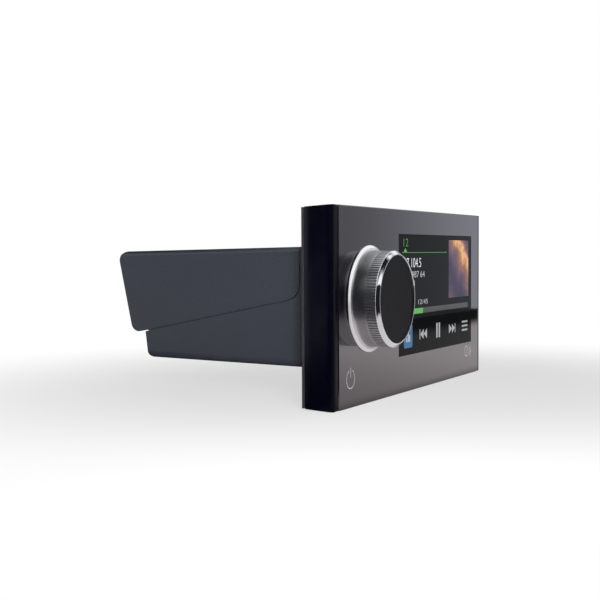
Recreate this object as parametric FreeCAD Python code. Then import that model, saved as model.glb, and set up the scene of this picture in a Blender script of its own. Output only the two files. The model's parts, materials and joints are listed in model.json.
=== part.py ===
"""Flush-mounted marine stereo: glass touch front, turn-and-press dial, metal chassis behind the dash panel.

Millimetres. +X is to the right as the user sees the front, +Y runs back into the dash, +Z is up.
The origin is the centre of the four mounting screws, in the plane where the gasket meets the dash.
The glass therefore faces -Y, and the chassis, its hood and its sockets lie at +Y.
"""
import FreeCAD, Part
import math
import os

from FreeCAD import Vector

# Display module, the standard part that the front is laid out around
ACTIVE_WIDTH = 95.04        # 4.3 inch, 16:9
ACTIVE_HEIGHT = 53.86
DISPLAY_WIDTH = ACTIVE_WIDTH + 10.46
DISPLAY_HEIGHT = ACTIVE_HEIGHT + 13.34
DISPLAY_INSET = 5.91        # right edge of the module to the edge of the glass
DISPLAY_DROP = 2.76         # the module hangs lower than its picture, because its tail is at the bottom
TOUCH_THICKNESS = 0.6
PANEL_THICKNESS = 1.3
BACKLIGHT_THICKNESS = 2.6
BACKLIGHT_WALL = 0.8
RETAINER_THICKNESS = 0.8
RETAINER_MARGIN = 4.4       # retainer beyond the module

# Front: the glass, what is behind it, and the face that meets the dash
FRONT_DEPTH = 14.5          # outer face of the glass to the dash
DIAL_BAY = 62.5             # width of the glass beyond the display module
GLASS_MARGIN = 7.4          # glass above and below the display module
GLASS_WIDTH = DISPLAY_WIDTH + DIAL_BAY
GLASS_HEIGHT = DISPLAY_HEIGHT + 2 * GLASS_MARGIN
GLASS_THICKNESS = 1.8
GLASS_CORNER = 1.0
GLASS_EDGE_CHAMFER = 0.3
BOND_THICKNESS = 0.5
BOND_WIDTH = 3.0
FACE_PLATE = 2.0            # frame wall behind the glass
SCREW_BAY = 3.8             # room for the mounting screws beside the frame, under the glass
FRAME_HALF_WIDTH = GLASS_WIDTH / 2 - SCREW_BAY
FRAME_WALL = 1.8
FRAME_RAIL = 2.4
FRAME_DRAFT = 0.7           # the rails lose this height towards the dash
FLANGE_THICKNESS = 2.5
GASKET_THICKNESS = 1.1
GASKET_CLEARANCE = 1.2      # gasket opening to chassis

# Where the picture's centre shows in the glass
WINDOW_X = GLASS_WIDTH / 2 - DISPLAY_WIDTH / 2 - DISPLAY_INSET
WINDOW_Z = 2.76

# Dial: a knob on a rotary encoder that also works a push switch
DIAL_INSET = 29.56          # dial's axis to the left edge of the glass
DIAL_X = DIAL_INSET - GLASS_WIDTH / 2
DIAL_Z = 2.65
DIAL_PRESS = 0.5            # travel of the push
KNOB_RADIUS = 20.0
KNOB_HEIGHT = 12.9          # glass to the lip of the knob
KNOB_BEVEL = 1.4            # the lip's radius is this much less than the knob's
LIP_WIDTH = 0.4
SKIRT_GAP = 0.9             # skirt to glass, more than the press
SKIRT_EDGE = 0.7
SKIRT_RADIUS = KNOB_RADIUS + 0.7
FLARE_HEIGHT = 1.5          # the skirt flares in to the knob over this height
TRIM_GAP = 0.3              # skirt to the fixed ring round it
TRIM_WIDTH = 1.4
TRIM_HEIGHT = 1.3
TRIM_BORE = SKIRT_RADIUS + TRIM_GAP
TRIM_RADIUS = TRIM_BORE + TRIM_WIDTH
KNURL_START = 7.2
KNURL_END = 11.4
KNURL_COUNT = 60
KNURL_DEPTH = 0.35
LIP_RADIUS = KNOB_RADIUS - KNOB_BEVEL
CAP_SEAT_RADIUS = LIP_RADIUS - LIP_WIDTH
CAP_RADIUS = CAP_SEAT_RADIUS - 0.05
CAP_THICKNESS = 1.2
CAP_RECESS = 0.5
SHAFT_RADIUS = 3.0
SHAFT_FLAT = 2.2            # axis to the flat of the D
SHAFT_DEPTH_IN_KNOB = 9.4
BUSH_RADIUS = 3.5
BUSH_STANDOUT = 2.4         # bush beyond the face plate
ENCODER_WIDTH = 12.5
ENCODER_HEIGHT = 13.2
ENCODER_PLATE = 1.0
ENCODER_DEPTH = 5.0
ROTOR_RADIUS = 5.3
ROTOR_THICKNESS = 1.6
NUT_FLATS = 10.0
NUT_THICKNESS = 1.7
WASHER_RADIUS = 6.0
WASHER_THICKNESS = 0.5
DIAL_HOLE_RADIUS = 8.2      # hole in the glass for the nut
RUNNING_CLEARANCE = 0.05
ROUND_SIDES = 60            # sides of the large round parts that carry no fit

# Side covers: clip-on end pieces that hide the mounting screws
COVER_REACH = 4.55          # stands out past the glass edge
COVER_REACH_BACK = 4.2      # the same at its back edge
COVER_SETBACK = 0.25        # its front face lies this far behind the glass
COVER_CROWN = 2.2           # radius between its front and its side
COVER_WALL = 1.2
COVER_END_WALL = 1.4
COVER_GAP = 0.3
TONGUE_LENGTH = 3.2         # past the outer face of the frame wall
TONGUE_WIDTH = 8.0
TONGUE_THICKNESS = 1.6
TONGUE_Z = 14.0
TONGUE_Y = -6.6
MOUNT_SPACING_X = GLASS_WIDTH - 1.0
MOUNT_SPACING_Z = GLASS_HEIGHT - 22.0
MOUNT_HOLE_RADIUS = 2.2
SCREW_POCKET = 9.0

# Chassis behind the dash, seen from the side
CHASSIS_INSET = 9.0         # side of the chassis to the edge of the glass
CHASSIS_WIDTH = GLASS_WIDTH - 2 * CHASSIS_INSET
CHASSIS_TOP = 24.6          # at the dash
CHASSIS_BOTTOM = -25.5      # at the dash
CHASSIS_TAPER = math.radians(1.0)
CHASSIS_WALL = 2.2
FLOOR_THICKNESS = 2.0
CHASSIS_LENGTH = 85.3       # dash to the back of the lower half
BOTTOM_BEND = 3.0
LOWER_BACK_LEAN = 1.5
LOWER_BACK_CORNER = 2.5
COLLAR_LENGTH = 7.3         # band of the lower half that goes all round
HOOD_OVERHANG = 14.7        # the top cover reaches this far past the lower half
HOOD_LENGTH = CHASSIS_LENGTH + HOOD_OVERHANG
HOOD_BACK_LEAN = math.radians(12.4)
HOOD_CORNER = 4.0
SHEET = 1.2
SHEET_BEND = 2.4
SEAM_GAP = 0.5
SEAM_HEIGHT = 3.75          # seam line carried forward to the collar
SEAM_SLOPE = math.radians(11.41)
SEAM_CORNER = 7.0

# Back panel and heatsink
PANEL_THICKNESS_BACK = 2.0
LIP_THICKNESS = 1.6         # folded edge of the back panel that the top cover is screwed to
HEATSINK_INSET = 9.0        # its left edge to the side of the chassis
HEATSINK_X0 = HEATSINK_INSET - CHASSIS_WIDTH / 2
HEATSINK_X1 = HEATSINK_X0 + 0.52 * CHASSIS_WIDTH
HEATSINK_Z0 = 3.0
HEATSINK_Z1 = 19.6
HEATSINK_BASE = 3.5
FIN_THICKNESS = 1.4
FIN_PITCH = 6.2
FIN_SETBACK = 2.0           # fins end this far inside the hood
FIN_CHAMFER = 1.5

# Boards
BOARD = 1.6
BOARD_Z = -17.6             # underside of the main board
BOARD_MARGIN = 2.0
BOARD_FRONT = 9.0
POST_RADIUS = 3.0
MEDIA_BOARD_Z = 1.5
MEDIA_BOARD_WIDTH = 57.0    # its left edge to the right side of the chassis
MEDIA_BOARD_LENGTH = 38.0   # its front edge to the front of the sockets

# Fasteners
SCREW_RADIUS = 1.25
SCREW_HEAD_RADIUS = 2.3
SCREW_HEAD = 1.4
THREAD_CLEARANCE = 0.05
HOLE_CLEARANCE = 0.25

# Sockets on the back, each by its width, height, centre and how far it stands out of the lower half's back
RIGHT_WALL = CHASSIS_WIDTH / 2
SOCKET_CLEARANCE = 0.3
POWER_SOCKET = dict(x=-26.0, width=36.0, height=14.0, standout=6.7)
LINE_SOCKET = dict(x=6.5, width=18.0, height=11.0, standout=5.7)
DATA_SOCKET = dict(x=RIGHT_WALL - 13.5, width=16.6, height=13.6, standout=6.7)
USB_SOCKET = dict(x=RIGHT_WALL - 31.0, width=14.0, height=7.2, standout=7.7)
OPTICAL_SOCKET = dict(x=RIGHT_WALL - 47.5, width=10.0, height=10.0, standout=6.7)
SOCKET_DEPTH = 13.3         # front of the sockets to the back of the lower half
SOCKET_FRONT = CHASSIS_LENGTH - SOCKET_DEPTH
SOCKET_WALL = 1.3
SOCKET_MOUTH_DEPTH = 10.0
PIN_LENGTH = 5.2
NETWORK_X = RIGHT_WALL - 38.0
NETWORK_Z = -8.0
NETWORK_RADIUS = 6.0
NETWORK_FLANGE_RADIUS = 8.4
NETWORK_STANDOUT = 8.0
ANTENNA_X = RIGHT_WALL - 13.0
ANTENNA_Z = 11.5
ANTENNA_RADIUS = 6.4
ANTENNA_BORE_RADIUS = 4.7
ANTENNA_BORE_DEPTH = 9.0
FUSE_X = 17.0 - RIGHT_WALL
FUSE_Z = -8.5
FUSE_WIDTH = 19.0
FUSE_THICKNESS = 5.2

# Places that follow from the sizes above
GLASS_Y = -FRONT_DEPTH
BOND_Y = GLASS_Y + GLASS_THICKNESS
FACE_Y = BOND_Y + BOND_THICKNESS
BEHIND_FACE_Y = FACE_Y + FACE_PLATE
GASKET_Y = -GASKET_THICKNESS
FLANGE_Y = GASKET_Y - FLANGE_THICKNESS
PANEL_Y = BOND_Y + TOUCH_THICKNESS
BACKLIGHT_Y = PANEL_Y + PANEL_THICKNESS
RETAINER_Y = BACKLIGHT_Y + BACKLIGHT_THICKNESS
DISPLAY_Z = WINDOW_Z - DISPLAY_DROP
HALF_GLASS_W = GLASS_WIDTH / 2
HALF_GLASS_H = GLASS_HEIGHT / 2
HALF_CHASSIS = CHASSIS_WIDTH / 2
BACK_PANEL_Y = CHASSIS_LENGTH - PANEL_THICKNESS_BACK
BOARD_TOP = BOARD_Z + BOARD
MEDIA_BOARD_X0 = RIGHT_WALL - MEDIA_BOARD_WIDTH
MEDIA_BOARD_FRONT = SOCKET_FRONT - MEDIA_BOARD_LENGTH
MEDIA_TOP = MEDIA_BOARD_Z + BOARD


def box(x0, x1, y0, y1, z0, z1):
    return Part.makeBox(x1 - x0, y1 - y0, z1 - z0, Vector(x0, y0, z0))


def rod_y(x, z, radius, y0, y1):
    return Part.makeCylinder(radius, y1 - y0, Vector(x, y0, z), Vector(0, 1, 0))


def facet_bar(centre, axis, radius, length, sides=6):
    """Many-sided bar or hole for screws, posts and other small round things that carry no running fit."""
    across = Vector(0, 0, 1) if abs(axis.z) < 0.5 else Vector(1, 0, 0)
    third = axis.cross(across)
    points = []
    for i in range(sides):
        angle = 2 * math.pi * (i + 0.5) / sides
        points.append(centre + across * (radius * math.cos(angle)) + third * (radius * math.sin(angle)))
    return Part.Face(Part.makePolygon(points + points[:1])).extrude(axis * length)


def bar_y(x, z, radius, y0, y1, sides=6):
    return facet_bar(Vector(x, y0, z), Vector(0, 1, 0), radius, y1 - y0, sides)


def bar_z(x, y, radius, z0, z1, sides=6):
    return facet_bar(Vector(x, y, z0), Vector(0, 0, 1), radius, z1 - z0, sides)


def fuse_all(shapes):
    return shapes[0].multiFuse(shapes[1:]).removeSplitter() if len(shapes) > 1 else shapes[0]


def outline(corners):
    """Closed wire through corners given as (point, radius), each corner rounded by its radius."""
    edges, starts, ends = [], [], []
    count = len(corners)
    for i, (point, radius) in enumerate(corners):
        before, after = corners[i - 1][0], corners[(i + 1) % count][0]
        to_before = (before - point).normalize()
        to_after = (after - point).normalize()
        if radius <= 0:
            starts.append(point)
            ends.append(point)
            edges.append(None)
            continue
        half = to_before.getAngle(to_after) / 2
        reach = radius / math.tan(half)
        start, end = point + to_before * reach, point + to_after * reach
        centre = point + (to_before + to_after).normalize() * (radius / math.sin(half))
        middle = centre + (point - centre).normalize() * radius
        starts.append(start)
        ends.append(end)
        edges.append(Part.Arc(start, middle, end).toShape())
    wire = []
    for i in range(count):
        if edges[i]:
            wire.append(edges[i])
        following = starts[(i + 1) % count]
        if ends[i].distanceToPoint(following) > 1e-6:
            wire.append(Part.LineSegment(ends[i], following).toShape())
    return Part.Wire(wire)


def side_profile(points, half_width):
    """Solid from a side view: points are (y, z) or (y, z, radius), spread evenly about X = 0."""
    corners = [(Vector(-half_width, p[0], p[1]), p[2] if len(p) > 2 else 0) for p in points]
    return Part.Face(outline(corners)).extrude(Vector(2 * half_width, 0, 0))


def plan_profile(points, z0, z1):
    """Solid from a plan view: points are (x, y) or (x, y, radius)."""
    corners = [(Vector(p[0], p[1], z0), p[2] if len(p) > 2 else 0) for p in points]
    return Part.Face(outline(corners)).extrude(Vector(0, 0, z1 - z0))


def front_profile(points, y0, y1):
    """Solid from a front view: points are (x, z) or (x, z, radius)."""
    corners = [(Vector(p[0], y0, p[1]), p[2] if len(p) > 2 else 0) for p in points]
    return Part.Face(outline(corners)).extrude(Vector(0, y1 - y0, 0))


def plate(half_w, half_h, corner, y0, y1, x=0.0, z=0.0):
    """Rounded rectangular plate facing the front."""
    return front_profile([(x - half_w, z - half_h, corner), (x + half_w, z - half_h, corner),
                          (x + half_w, z + half_h, corner), (x - half_w, z + half_h, corner)], y0, y1)


def turned(points):
    """Solid of revolution about the dial's axis: points are (radius, height above the glass)."""
    wire = Part.makePolygon([Vector(DIAL_X + r, GLASS_Y - h, DIAL_Z) for r, h in points + points[:1]])
    return Part.Face(wire).revolve(Vector(DIAL_X, 0, DIAL_Z), Vector(0, 1, 0), 360)


def screw_y(x, z, y, length, facing, radius=SCREW_RADIUS, head=SCREW_HEAD, head_radius=SCREW_HEAD_RADIUS):
    """Pan-head screw along Y. y is where the head sits, facing is -1 if the head is on the front side."""
    if facing < 0:
        return bar_y(x, z, head_radius, y - head, y).fuse(bar_y(x, z, radius, y, y + length))
    return bar_y(x, z, head_radius, y, y + head).fuse(bar_y(x, z, radius, y - length, y))


def screw_z(x, y, z, length, radius=SCREW_RADIUS, head=SCREW_HEAD, head_radius=SCREW_HEAD_RADIUS):
    """Pan-head screw driven down from above, with its head on z."""
    return bar_z(x, y, head_radius, z, z + head).fuse(bar_z(x, y, radius, z - length, z))


def d_section(radius, flat, y0, y1):
    """Round bar on the dial's axis with one flat."""
    bar = rod_y(DIAL_X, DIAL_Z, radius, y0, y1)
    cutter = box(DIAL_X - 2 * radius, DIAL_X + 2 * radius, y0 - 1, y1 + 1,
                 DIAL_Z + flat, DIAL_Z + 2 * radius)
    return bar.cut(cutter)


def chassis_top(y):
    return CHASSIS_TOP - y * math.tan(CHASSIS_TAPER)


def chassis_bottom(y):
    return CHASSIS_BOTTOM + y * math.tan(CHASSIS_TAPER)


def hood_back(z):
    return HOOD_LENGTH - (chassis_top(HOOD_LENGTH) - z) * math.tan(HOOD_BACK_LEAN)


def seam(y):
    """Height of the lower edge of the top cover's side flap."""
    return SEAM_HEIGHT - (y - COLLAR_LENGTH) * math.tan(SEAM_SLOPE)


def mount_places():
    return [(sx * MOUNT_SPACING_X / 2, sz * MOUNT_SPACING_Z / 2) for sx in (-1, 1) for sz in (-1, 1)]


# Front: glass, bond and frame

def make_cover_glass():
    glass = plate(HALF_GLASS_W, HALF_GLASS_H, GLASS_CORNER, GLASS_Y, BOND_Y)
    front_edges = [e for e in glass.Edges if all(abs(v.Y - GLASS_Y) < 1e-6 for v in e.Vertexes)]
    glass = glass.makeChamfer(GLASS_EDGE_CHAMFER, front_edges)
    return glass.cut(bar_y(DIAL_X, DIAL_Z, DIAL_HOLE_RADIUS, GLASS_Y - 1, BOND_Y + 1, 16))


def make_glass_bond():
    half_w, half_h = HALF_GLASS_W - 0.4, HALF_GLASS_H - 0.4
    ring = box(-half_w, half_w, BOND_Y, FACE_Y, -half_h, half_h)
    inner_w, inner_h = half_w - BOND_WIDTH, half_h - BOND_WIDTH
    opening = box(-inner_w, inner_w, BOND_Y - 1, FACE_Y + 1, -inner_h, inner_h)
    dial_pad = bar_y(DIAL_X, DIAL_Z, DIAL_HOLE_RADIUS + BOND_WIDTH, BOND_Y, FACE_Y, 12)
    dial_hole = bar_y(DIAL_X, DIAL_Z, DIAL_HOLE_RADIUS + 0.4, BOND_Y - 1, FACE_Y + 1, 12)
    return fuse_all([ring.cut(opening), dial_pad.cut(dial_hole)])


def display_block(clearance, y0, y1):
    half_w, half_h = DISPLAY_WIDTH / 2 + clearance, DISPLAY_HEIGHT / 2 + clearance
    return box(WINDOW_X - half_w, WINDOW_X + half_w, y0, y1, DISPLAY_Z - half_h, DISPLAY_Z + half_h)


FLANGE_HALF_WIDTH = HALF_GLASS_W + COVER_REACH_BACK - COVER_WALL
WING_HALF_HEIGHT = HALF_GLASS_H - COVER_END_WALL - 0.5
FLANGE_OPENING_TOP = CHASSIS_TOP - CHASSIS_WALL
FLANGE_OPENING_BOTTOM = CHASSIS_BOTTOM + CHASSIS_WALL
COLLAR_BOSS_X = HALF_CHASSIS - CHASSIS_WALL - 3.4
COLLAR_BOSS_TOP = FLANGE_OPENING_TOP - 3.4
COLLAR_BOSS_BOTTOM = FLANGE_OPENING_BOTTOM + 3.4
COLLAR_BOSS_RADIUS = 3.8
DISPLAY_BOARD_X0 = WINDOW_X - DISPLAY_WIDTH / 2 + 1.0
DISPLAY_BOARD_X1 = FRAME_HALF_WIDTH - FRAME_WALL - TONGUE_LENGTH - 0.5
DISPLAY_BOARD_HALF_HEIGHT = DISPLAY_HEIGHT / 2 - 2.6
DISPLAY_BOARD_Y = RETAINER_Y + RETAINER_THICKNESS + 0.7
ENCODER_BACK_Y = BEHIND_FACE_Y + ENCODER_PLATE + ENCODER_DEPTH
ENCODER_BOARD_HALF = (11.7, 14.5)


def collar_bosses():
    return [(sx * COLLAR_BOSS_X, z) for sx in (-1, 1) for z in (COLLAR_BOSS_TOP, COLLAR_BOSS_BOTTOM)]


def corner_boss(x, z, radius, y0, y1, wall_x, wall_z):
    """Screw boss in a corner, filled out to a point inside the two walls that it belongs to."""
    x0, x1 = sorted((x, math.copysign(wall_x, x)))
    z0, z1 = sorted((z, wall_z))
    return bar_y(x, z, radius, y0, y1).fuse(box(x0, x1, y0, y1, z0, z1))


def collar_corner(x, z, y0, y1):
    wall_z = CHASSIS_TOP - CHASSIS_WALL / 2 if z > 0 else CHASSIS_BOTTOM + CHASSIS_WALL / 2
    return corner_boss(x, z, COLLAR_BOSS_RADIUS, y0, y1, HALF_CHASSIS - CHASSIS_WALL / 2, wall_z)


def retainer_posts():
    """Posts beside the display that its retainer and board are screwed to."""
    x0 = WINDOW_X - DISPLAY_WIDTH / 2 - POST_RADIUS - 0.5
    z = DISPLAY_HEIGHT / 2 + POST_RADIUS - 0.9
    inner = FRAME_HALF_WIDTH - FRAME_WALL - TONGUE_LENGTH - POST_RADIUS
    return [(x0, -z + 8), (x0, z - 8), (inner, -z), (inner, z)]


def encoder_posts():
    w, h = ENCODER_BOARD_HALF
    return [(DIAL_X + s * (w - 2.4), DIAL_Z + s * (h - 2.4)) for s in (-1, 1)]


def make_front_frame():
    rail_back = HALF_GLASS_H - FRAME_DRAFT
    block = side_profile([(FACE_Y, -HALF_GLASS_H + 0.2), (GASKET_Y, -rail_back),
                          (GASKET_Y, rail_back), (FACE_Y, HALF_GLASS_H - 0.2)], FRAME_HALF_WIDTH)
    inside = box(-FRAME_HALF_WIDTH + FRAME_WALL, FRAME_HALF_WIDTH - FRAME_WALL, BEHIND_FACE_Y, FLANGE_Y,
                 -HALF_GLASS_H + FRAME_RAIL, HALF_GLASS_H - FRAME_RAIL)
    frame = block.cut(inside)
    wing_h = WING_HALF_HEIGHT
    frame = fuse_all([
        frame,
        box(-HALF_GLASS_W + 0.4, HALF_GLASS_W - 0.4, FACE_Y, BEHIND_FACE_Y, -wing_h, wing_h),
        box(-FLANGE_HALF_WIDTH, FLANGE_HALF_WIDTH, FLANGE_Y, GASKET_Y, -wing_h, wing_h),
    ])
    opening = box(-HALF_CHASSIS + CHASSIS_WALL, HALF_CHASSIS - CHASSIS_WALL, FLANGE_Y - 1, GASKET_Y + 1,
                  FLANGE_OPENING_BOTTOM, FLANGE_OPENING_TOP)
    lugs = [collar_corner(x, z, FLANGE_Y, GASKET_Y) for x, z in collar_bosses()]
    frame = frame.cut(opening)
    posts = [bar_y(x, z, POST_RADIUS, BEHIND_FACE_Y, RETAINER_Y) for x, z in retainer_posts()]
    posts += [bar_y(x, z, 2.2, BEHIND_FACE_Y, ENCODER_BACK_Y) for x, z in encoder_posts()]
    frame = fuse_all([frame] + lugs + posts)
    cuts = [display_block(COVER_GAP, FACE_Y - 1, RETAINER_Y)]
    cuts.append(bush_hole())
    cuts += [bar_y(x, z, SCREW_RADIUS + THREAD_CLEARANCE, FACE_Y + 0.6, RETAINER_Y + 1)
             for x, z in retainer_posts()]
    cuts += [bar_y(x, z, 1.0 + THREAD_CLEARANCE, FACE_Y + 0.6, ENCODER_BACK_Y + 1)
             for x, z in encoder_posts()]
    cuts += [bar_y(x, z, SCREW_RADIUS + HOLE_CLEARANCE, FLANGE_Y - 1, GASKET_Y + 1)
             for x, z in collar_bosses()]
    for x, z in mount_places():
        cuts.append(rod_y(x, z, MOUNT_HOLE_RADIUS, FLANGE_Y - 1, GASKET_Y + 1))
        side = math.copysign(1, x)
        x0, x1 = sorted((side * (FRAME_HALF_WIDTH - 0.4), side * (HALF_GLASS_W + 1)))
        half = SCREW_POCKET / 2
        cuts.append(box(x0, x1, FACE_Y - 1, BEHIND_FACE_Y + 1, z - half, z + half))
    for side in (-1, 1):
        x0, x1 = sorted((side * (FRAME_HALF_WIDTH - FRAME_WALL - 0.5), side * (FRAME_HALF_WIDTH + 0.5)))
        for z in (-TONGUE_Z, TONGUE_Z):
            half = TONGUE_WIDTH / 2 + COVER_GAP
            cuts.append(box(x0, x1, TONGUE_Y - COVER_GAP, TONGUE_Y + TONGUE_THICKNESS + COVER_GAP,
                            z - half, z + half))
    return frame.cut(Part.makeCompound(cuts)).removeSplitter()


def make_mounting_gasket():
    half_w = HALF_GLASS_W + COVER_REACH_BACK - 0.2
    half_h = HALF_GLASS_H - FRAME_DRAFT - 0.2
    sheet = box(-half_w, half_w, GASKET_Y, 0, -half_h, half_h)
    gap = GASKET_CLEARANCE
    hole = box(-HALF_CHASSIS - gap, HALF_CHASSIS + gap, GASKET_Y - 1, 1, CHASSIS_BOTTOM - gap,
               CHASSIS_TOP + gap)
    bolts = [rod_y(x, z, MOUNT_HOLE_RADIUS, GASKET_Y - 1, 1) for x, z in mount_places()]
    return sheet.cut(Part.makeCompound([hole] + bolts))


def make_side_cover(side):
    """Clip-on end piece for the right (side = 1) or left (side = -1)."""
    back_y = GASKET_Y - 0.2
    front_y = GLASS_Y + COVER_SETBACK
    inner_x = HALF_GLASS_W + COVER_GAP
    inboard_x = FRAME_HALF_WIDTH + COVER_GAP
    step_y = BOND_Y + 0.8
    outer_x = HALF_GLASS_W + COVER_REACH
    back_x = HALF_GLASS_W + COVER_REACH_BACK
    crown_y = front_y + 0.2
    shell = plan_profile([(side * x, y, r) for x, y, r in (
        (inner_x, front_y, 0), (outer_x, crown_y, COVER_CROWN), (back_x, back_y, 0),
        (inboard_x, back_y, 0), (inboard_x, step_y, 0), (inner_x, step_y, 0))],
        -HALF_GLASS_H, HALF_GLASS_H)
    chamfer = 0.5
    rail_back = HALF_GLASS_H - FRAME_DRAFT
    ends = side_profile([(front_y - 0.1, -HALF_GLASS_H + chamfer), (front_y + chamfer, -HALF_GLASS_H),
                         (back_y, -rail_back), (back_y, rail_back), (front_y + chamfer, HALF_GLASS_H),
                         (front_y - 0.1, HALF_GLASS_H - chamfer)], outer_x + 1)
    shell = shell.common(ends)
    hollow_z = HALF_GLASS_H - COVER_END_WALL
    hollow = plan_profile([(side * x, y, r) for x, y, r in (
        (inboard_x - 1, front_y + COVER_WALL, 0),
        (outer_x - COVER_WALL, front_y + COVER_WALL, 1.0),
        (back_x - COVER_WALL + 0.3, back_y + 1, 0), (inboard_x - 1, back_y + 1, 0))],
        -hollow_z, hollow_z)
    shell = shell.cut(hollow)
    tip = FRAME_HALF_WIDTH - TONGUE_LENGTH
    root = outer_x - COVER_WALL / 2
    for z in (-TONGUE_Z, TONGUE_Z):
        x0, x1 = sorted((side * tip, side * root))
        shell = shell.fuse(box(x0, x1, TONGUE_Y, TONGUE_Y + TONGUE_THICKNESS,
                               z - TONGUE_WIDTH / 2, z + TONGUE_WIDTH / 2))
    return shell.removeSplitter()


# Display

def make_touch_sensor():
    return display_block(0, BOND_Y, PANEL_Y)


def make_lcd_panel():
    return display_block(-0.5, PANEL_Y, BACKLIGHT_Y)


def make_backlight_tray():
    tray = display_block(0, BACKLIGHT_Y, RETAINER_Y)
    return tray.cut(display_block(-BACKLIGHT_WALL - 0.6, BACKLIGHT_Y - 1, RETAINER_Y - BACKLIGHT_WALL))


def make_light_guide():
    return display_block(-BACKLIGHT_WALL - 0.9, BACKLIGHT_Y, RETAINER_Y - BACKLIGHT_WALL)


def make_display_retainer():
    sheet = box(DISPLAY_BOARD_X0 - 8.5, DISPLAY_BOARD_X1 + 0.4, RETAINER_Y, RETAINER_Y + RETAINER_THICKNESS,
                -DISPLAY_HEIGHT / 2 - RETAINER_MARGIN, DISPLAY_HEIGHT / 2 + RETAINER_MARGIN)
    window = box(WINDOW_X - 34, WINDOW_X + 34, RETAINER_Y - 1, RETAINER_Y + RETAINER_THICKNESS + 1, -20, 20)
    holes = [bar_y(x, z, SCREW_RADIUS + HOLE_CLEARANCE, RETAINER_Y - 1, RETAINER_Y + 2)
             for x, z in retainer_posts()]
    return sheet.cut(Part.makeCompound([window] + holes))


def make_display_board():
    sheet = box(DISPLAY_BOARD_X0, DISPLAY_BOARD_X1 - 1.0, DISPLAY_BOARD_Y, DISPLAY_BOARD_Y + BOARD,
                -DISPLAY_BOARD_HALF_HEIGHT, DISPLAY_BOARD_HALF_HEIGHT)
    spacers = [bar_y(x, z, 2.6, RETAINER_Y + RETAINER_THICKNESS, DISPLAY_BOARD_Y) for x, z in board_spots()]
    holes = [bar_y(x, z, 1.0 + THREAD_CLEARANCE, RETAINER_Y, DISPLAY_BOARD_Y + 3) for x, z in board_spots()]
    return fuse_all([sheet] + spacers).cut(Part.makeCompound(holes))


def board_spots():
    x0, x1 = DISPLAY_BOARD_X0 + 5, DISPLAY_BOARD_X1 - 6
    z = DISPLAY_BOARD_HALF_HEIGHT - 4
    return [(x, s * z) for x in (x0, x1) for s in (-1, 1)]


# Dial

def make_knob_trim_ring():
    ring = bar_y(DIAL_X, DIAL_Z, TRIM_RADIUS, GLASS_Y - TRIM_HEIGHT, GLASS_Y, ROUND_SIDES)
    return ring.cut(bar_y(DIAL_X, DIAL_Z, TRIM_BORE, GLASS_Y - TRIM_HEIGHT - 1, GLASS_Y + 1, ROUND_SIDES))


def knurl_band():
    """Ring with axial grooves round the front half of the knob."""
    pitch = 2 * math.pi / KNURL_COUNT
    y = GLASS_Y - KNURL_END
    points = []
    for i in range(KNURL_COUNT):
        start = i * pitch
        for angle, radius in ((start, KNOB_RADIUS), (start + pitch / 2, KNOB_RADIUS - KNURL_DEPTH)):
            points.append(Vector(DIAL_X + radius * math.cos(angle), y, DIAL_Z + radius * math.sin(angle)))
    band = Part.Face(Part.makePolygon(points + points[:1])).extrude(Vector(0, KNURL_END - KNURL_START, 0))
    return band.cut(rod_y(DIAL_X, DIAL_Z, KNOB_RADIUS - 1.2, y - 1, y + KNURL_END))


def make_knob_body():
    flare_start = SKIRT_GAP + SKIRT_EDGE
    cap_seat = KNOB_HEIGHT - CAP_RECESS - CAP_THICKNESS
    root = KNOB_RADIUS - KNURL_DEPTH
    body = turned([(0, SKIRT_GAP), (SKIRT_RADIUS, SKIRT_GAP), (SKIRT_RADIUS, flare_start),
                   (KNOB_RADIUS, flare_start + FLARE_HEIGHT), (KNOB_RADIUS, KNURL_START),
                   (root - 0.5, KNURL_START), (root - 0.5, KNURL_END), (root, KNURL_END),
                   (LIP_RADIUS, KNOB_HEIGHT), (CAP_SEAT_RADIUS, KNOB_HEIGHT),
                   (CAP_SEAT_RADIUS, cap_seat), (0, cap_seat)])
    body = body.fuse(knurl_band()).removeSplitter()
    bore = d_section(SHAFT_RADIUS + THREAD_CLEARANCE, SHAFT_FLAT + THREAD_CLEARANCE,
                     GLASS_Y - SHAFT_DEPTH_IN_KNOB - 0.2, GLASS_Y)
    return body.cut(bore)


def make_knob_cap():
    top = KNOB_HEIGHT - CAP_RECESS
    return bar_y(DIAL_X, DIAL_Z, CAP_RADIUS, GLASS_Y - top, GLASS_Y - top + CAP_THICKNESS, ROUND_SIDES)


ROTOR_Y = BEHIND_FACE_Y + ENCODER_PLATE + 0.15
SHAFT_END_Y = BEHIND_FACE_Y + ENCODER_PLATE + 3.2


def make_encoder_shaft():
    return d_section(SHAFT_RADIUS, SHAFT_FLAT, GLASS_Y - SHAFT_DEPTH_IN_KNOB, SHAFT_END_Y)


def encoder_block(y0, y1):
    half_w, half_h = ENCODER_WIDTH / 2, ENCODER_HEIGHT / 2
    return box(DIAL_X - half_w, DIAL_X + half_w, y0, y1, DIAL_Z - half_h, DIAL_Z + half_h)


def make_encoder_bush():
    base = encoder_block(BEHIND_FACE_Y, BEHIND_FACE_Y + ENCODER_PLATE)
    tube = bar_y(DIAL_X, DIAL_Z, BUSH_RADIUS, FACE_Y - BUSH_STANDOUT, BEHIND_FACE_Y, 12)
    bore = rod_y(DIAL_X, DIAL_Z, SHAFT_RADIUS + RUNNING_CLEARANCE, GLASS_Y - 5, 0)
    return base.fuse(tube).cut(bore).removeSplitter()


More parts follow.
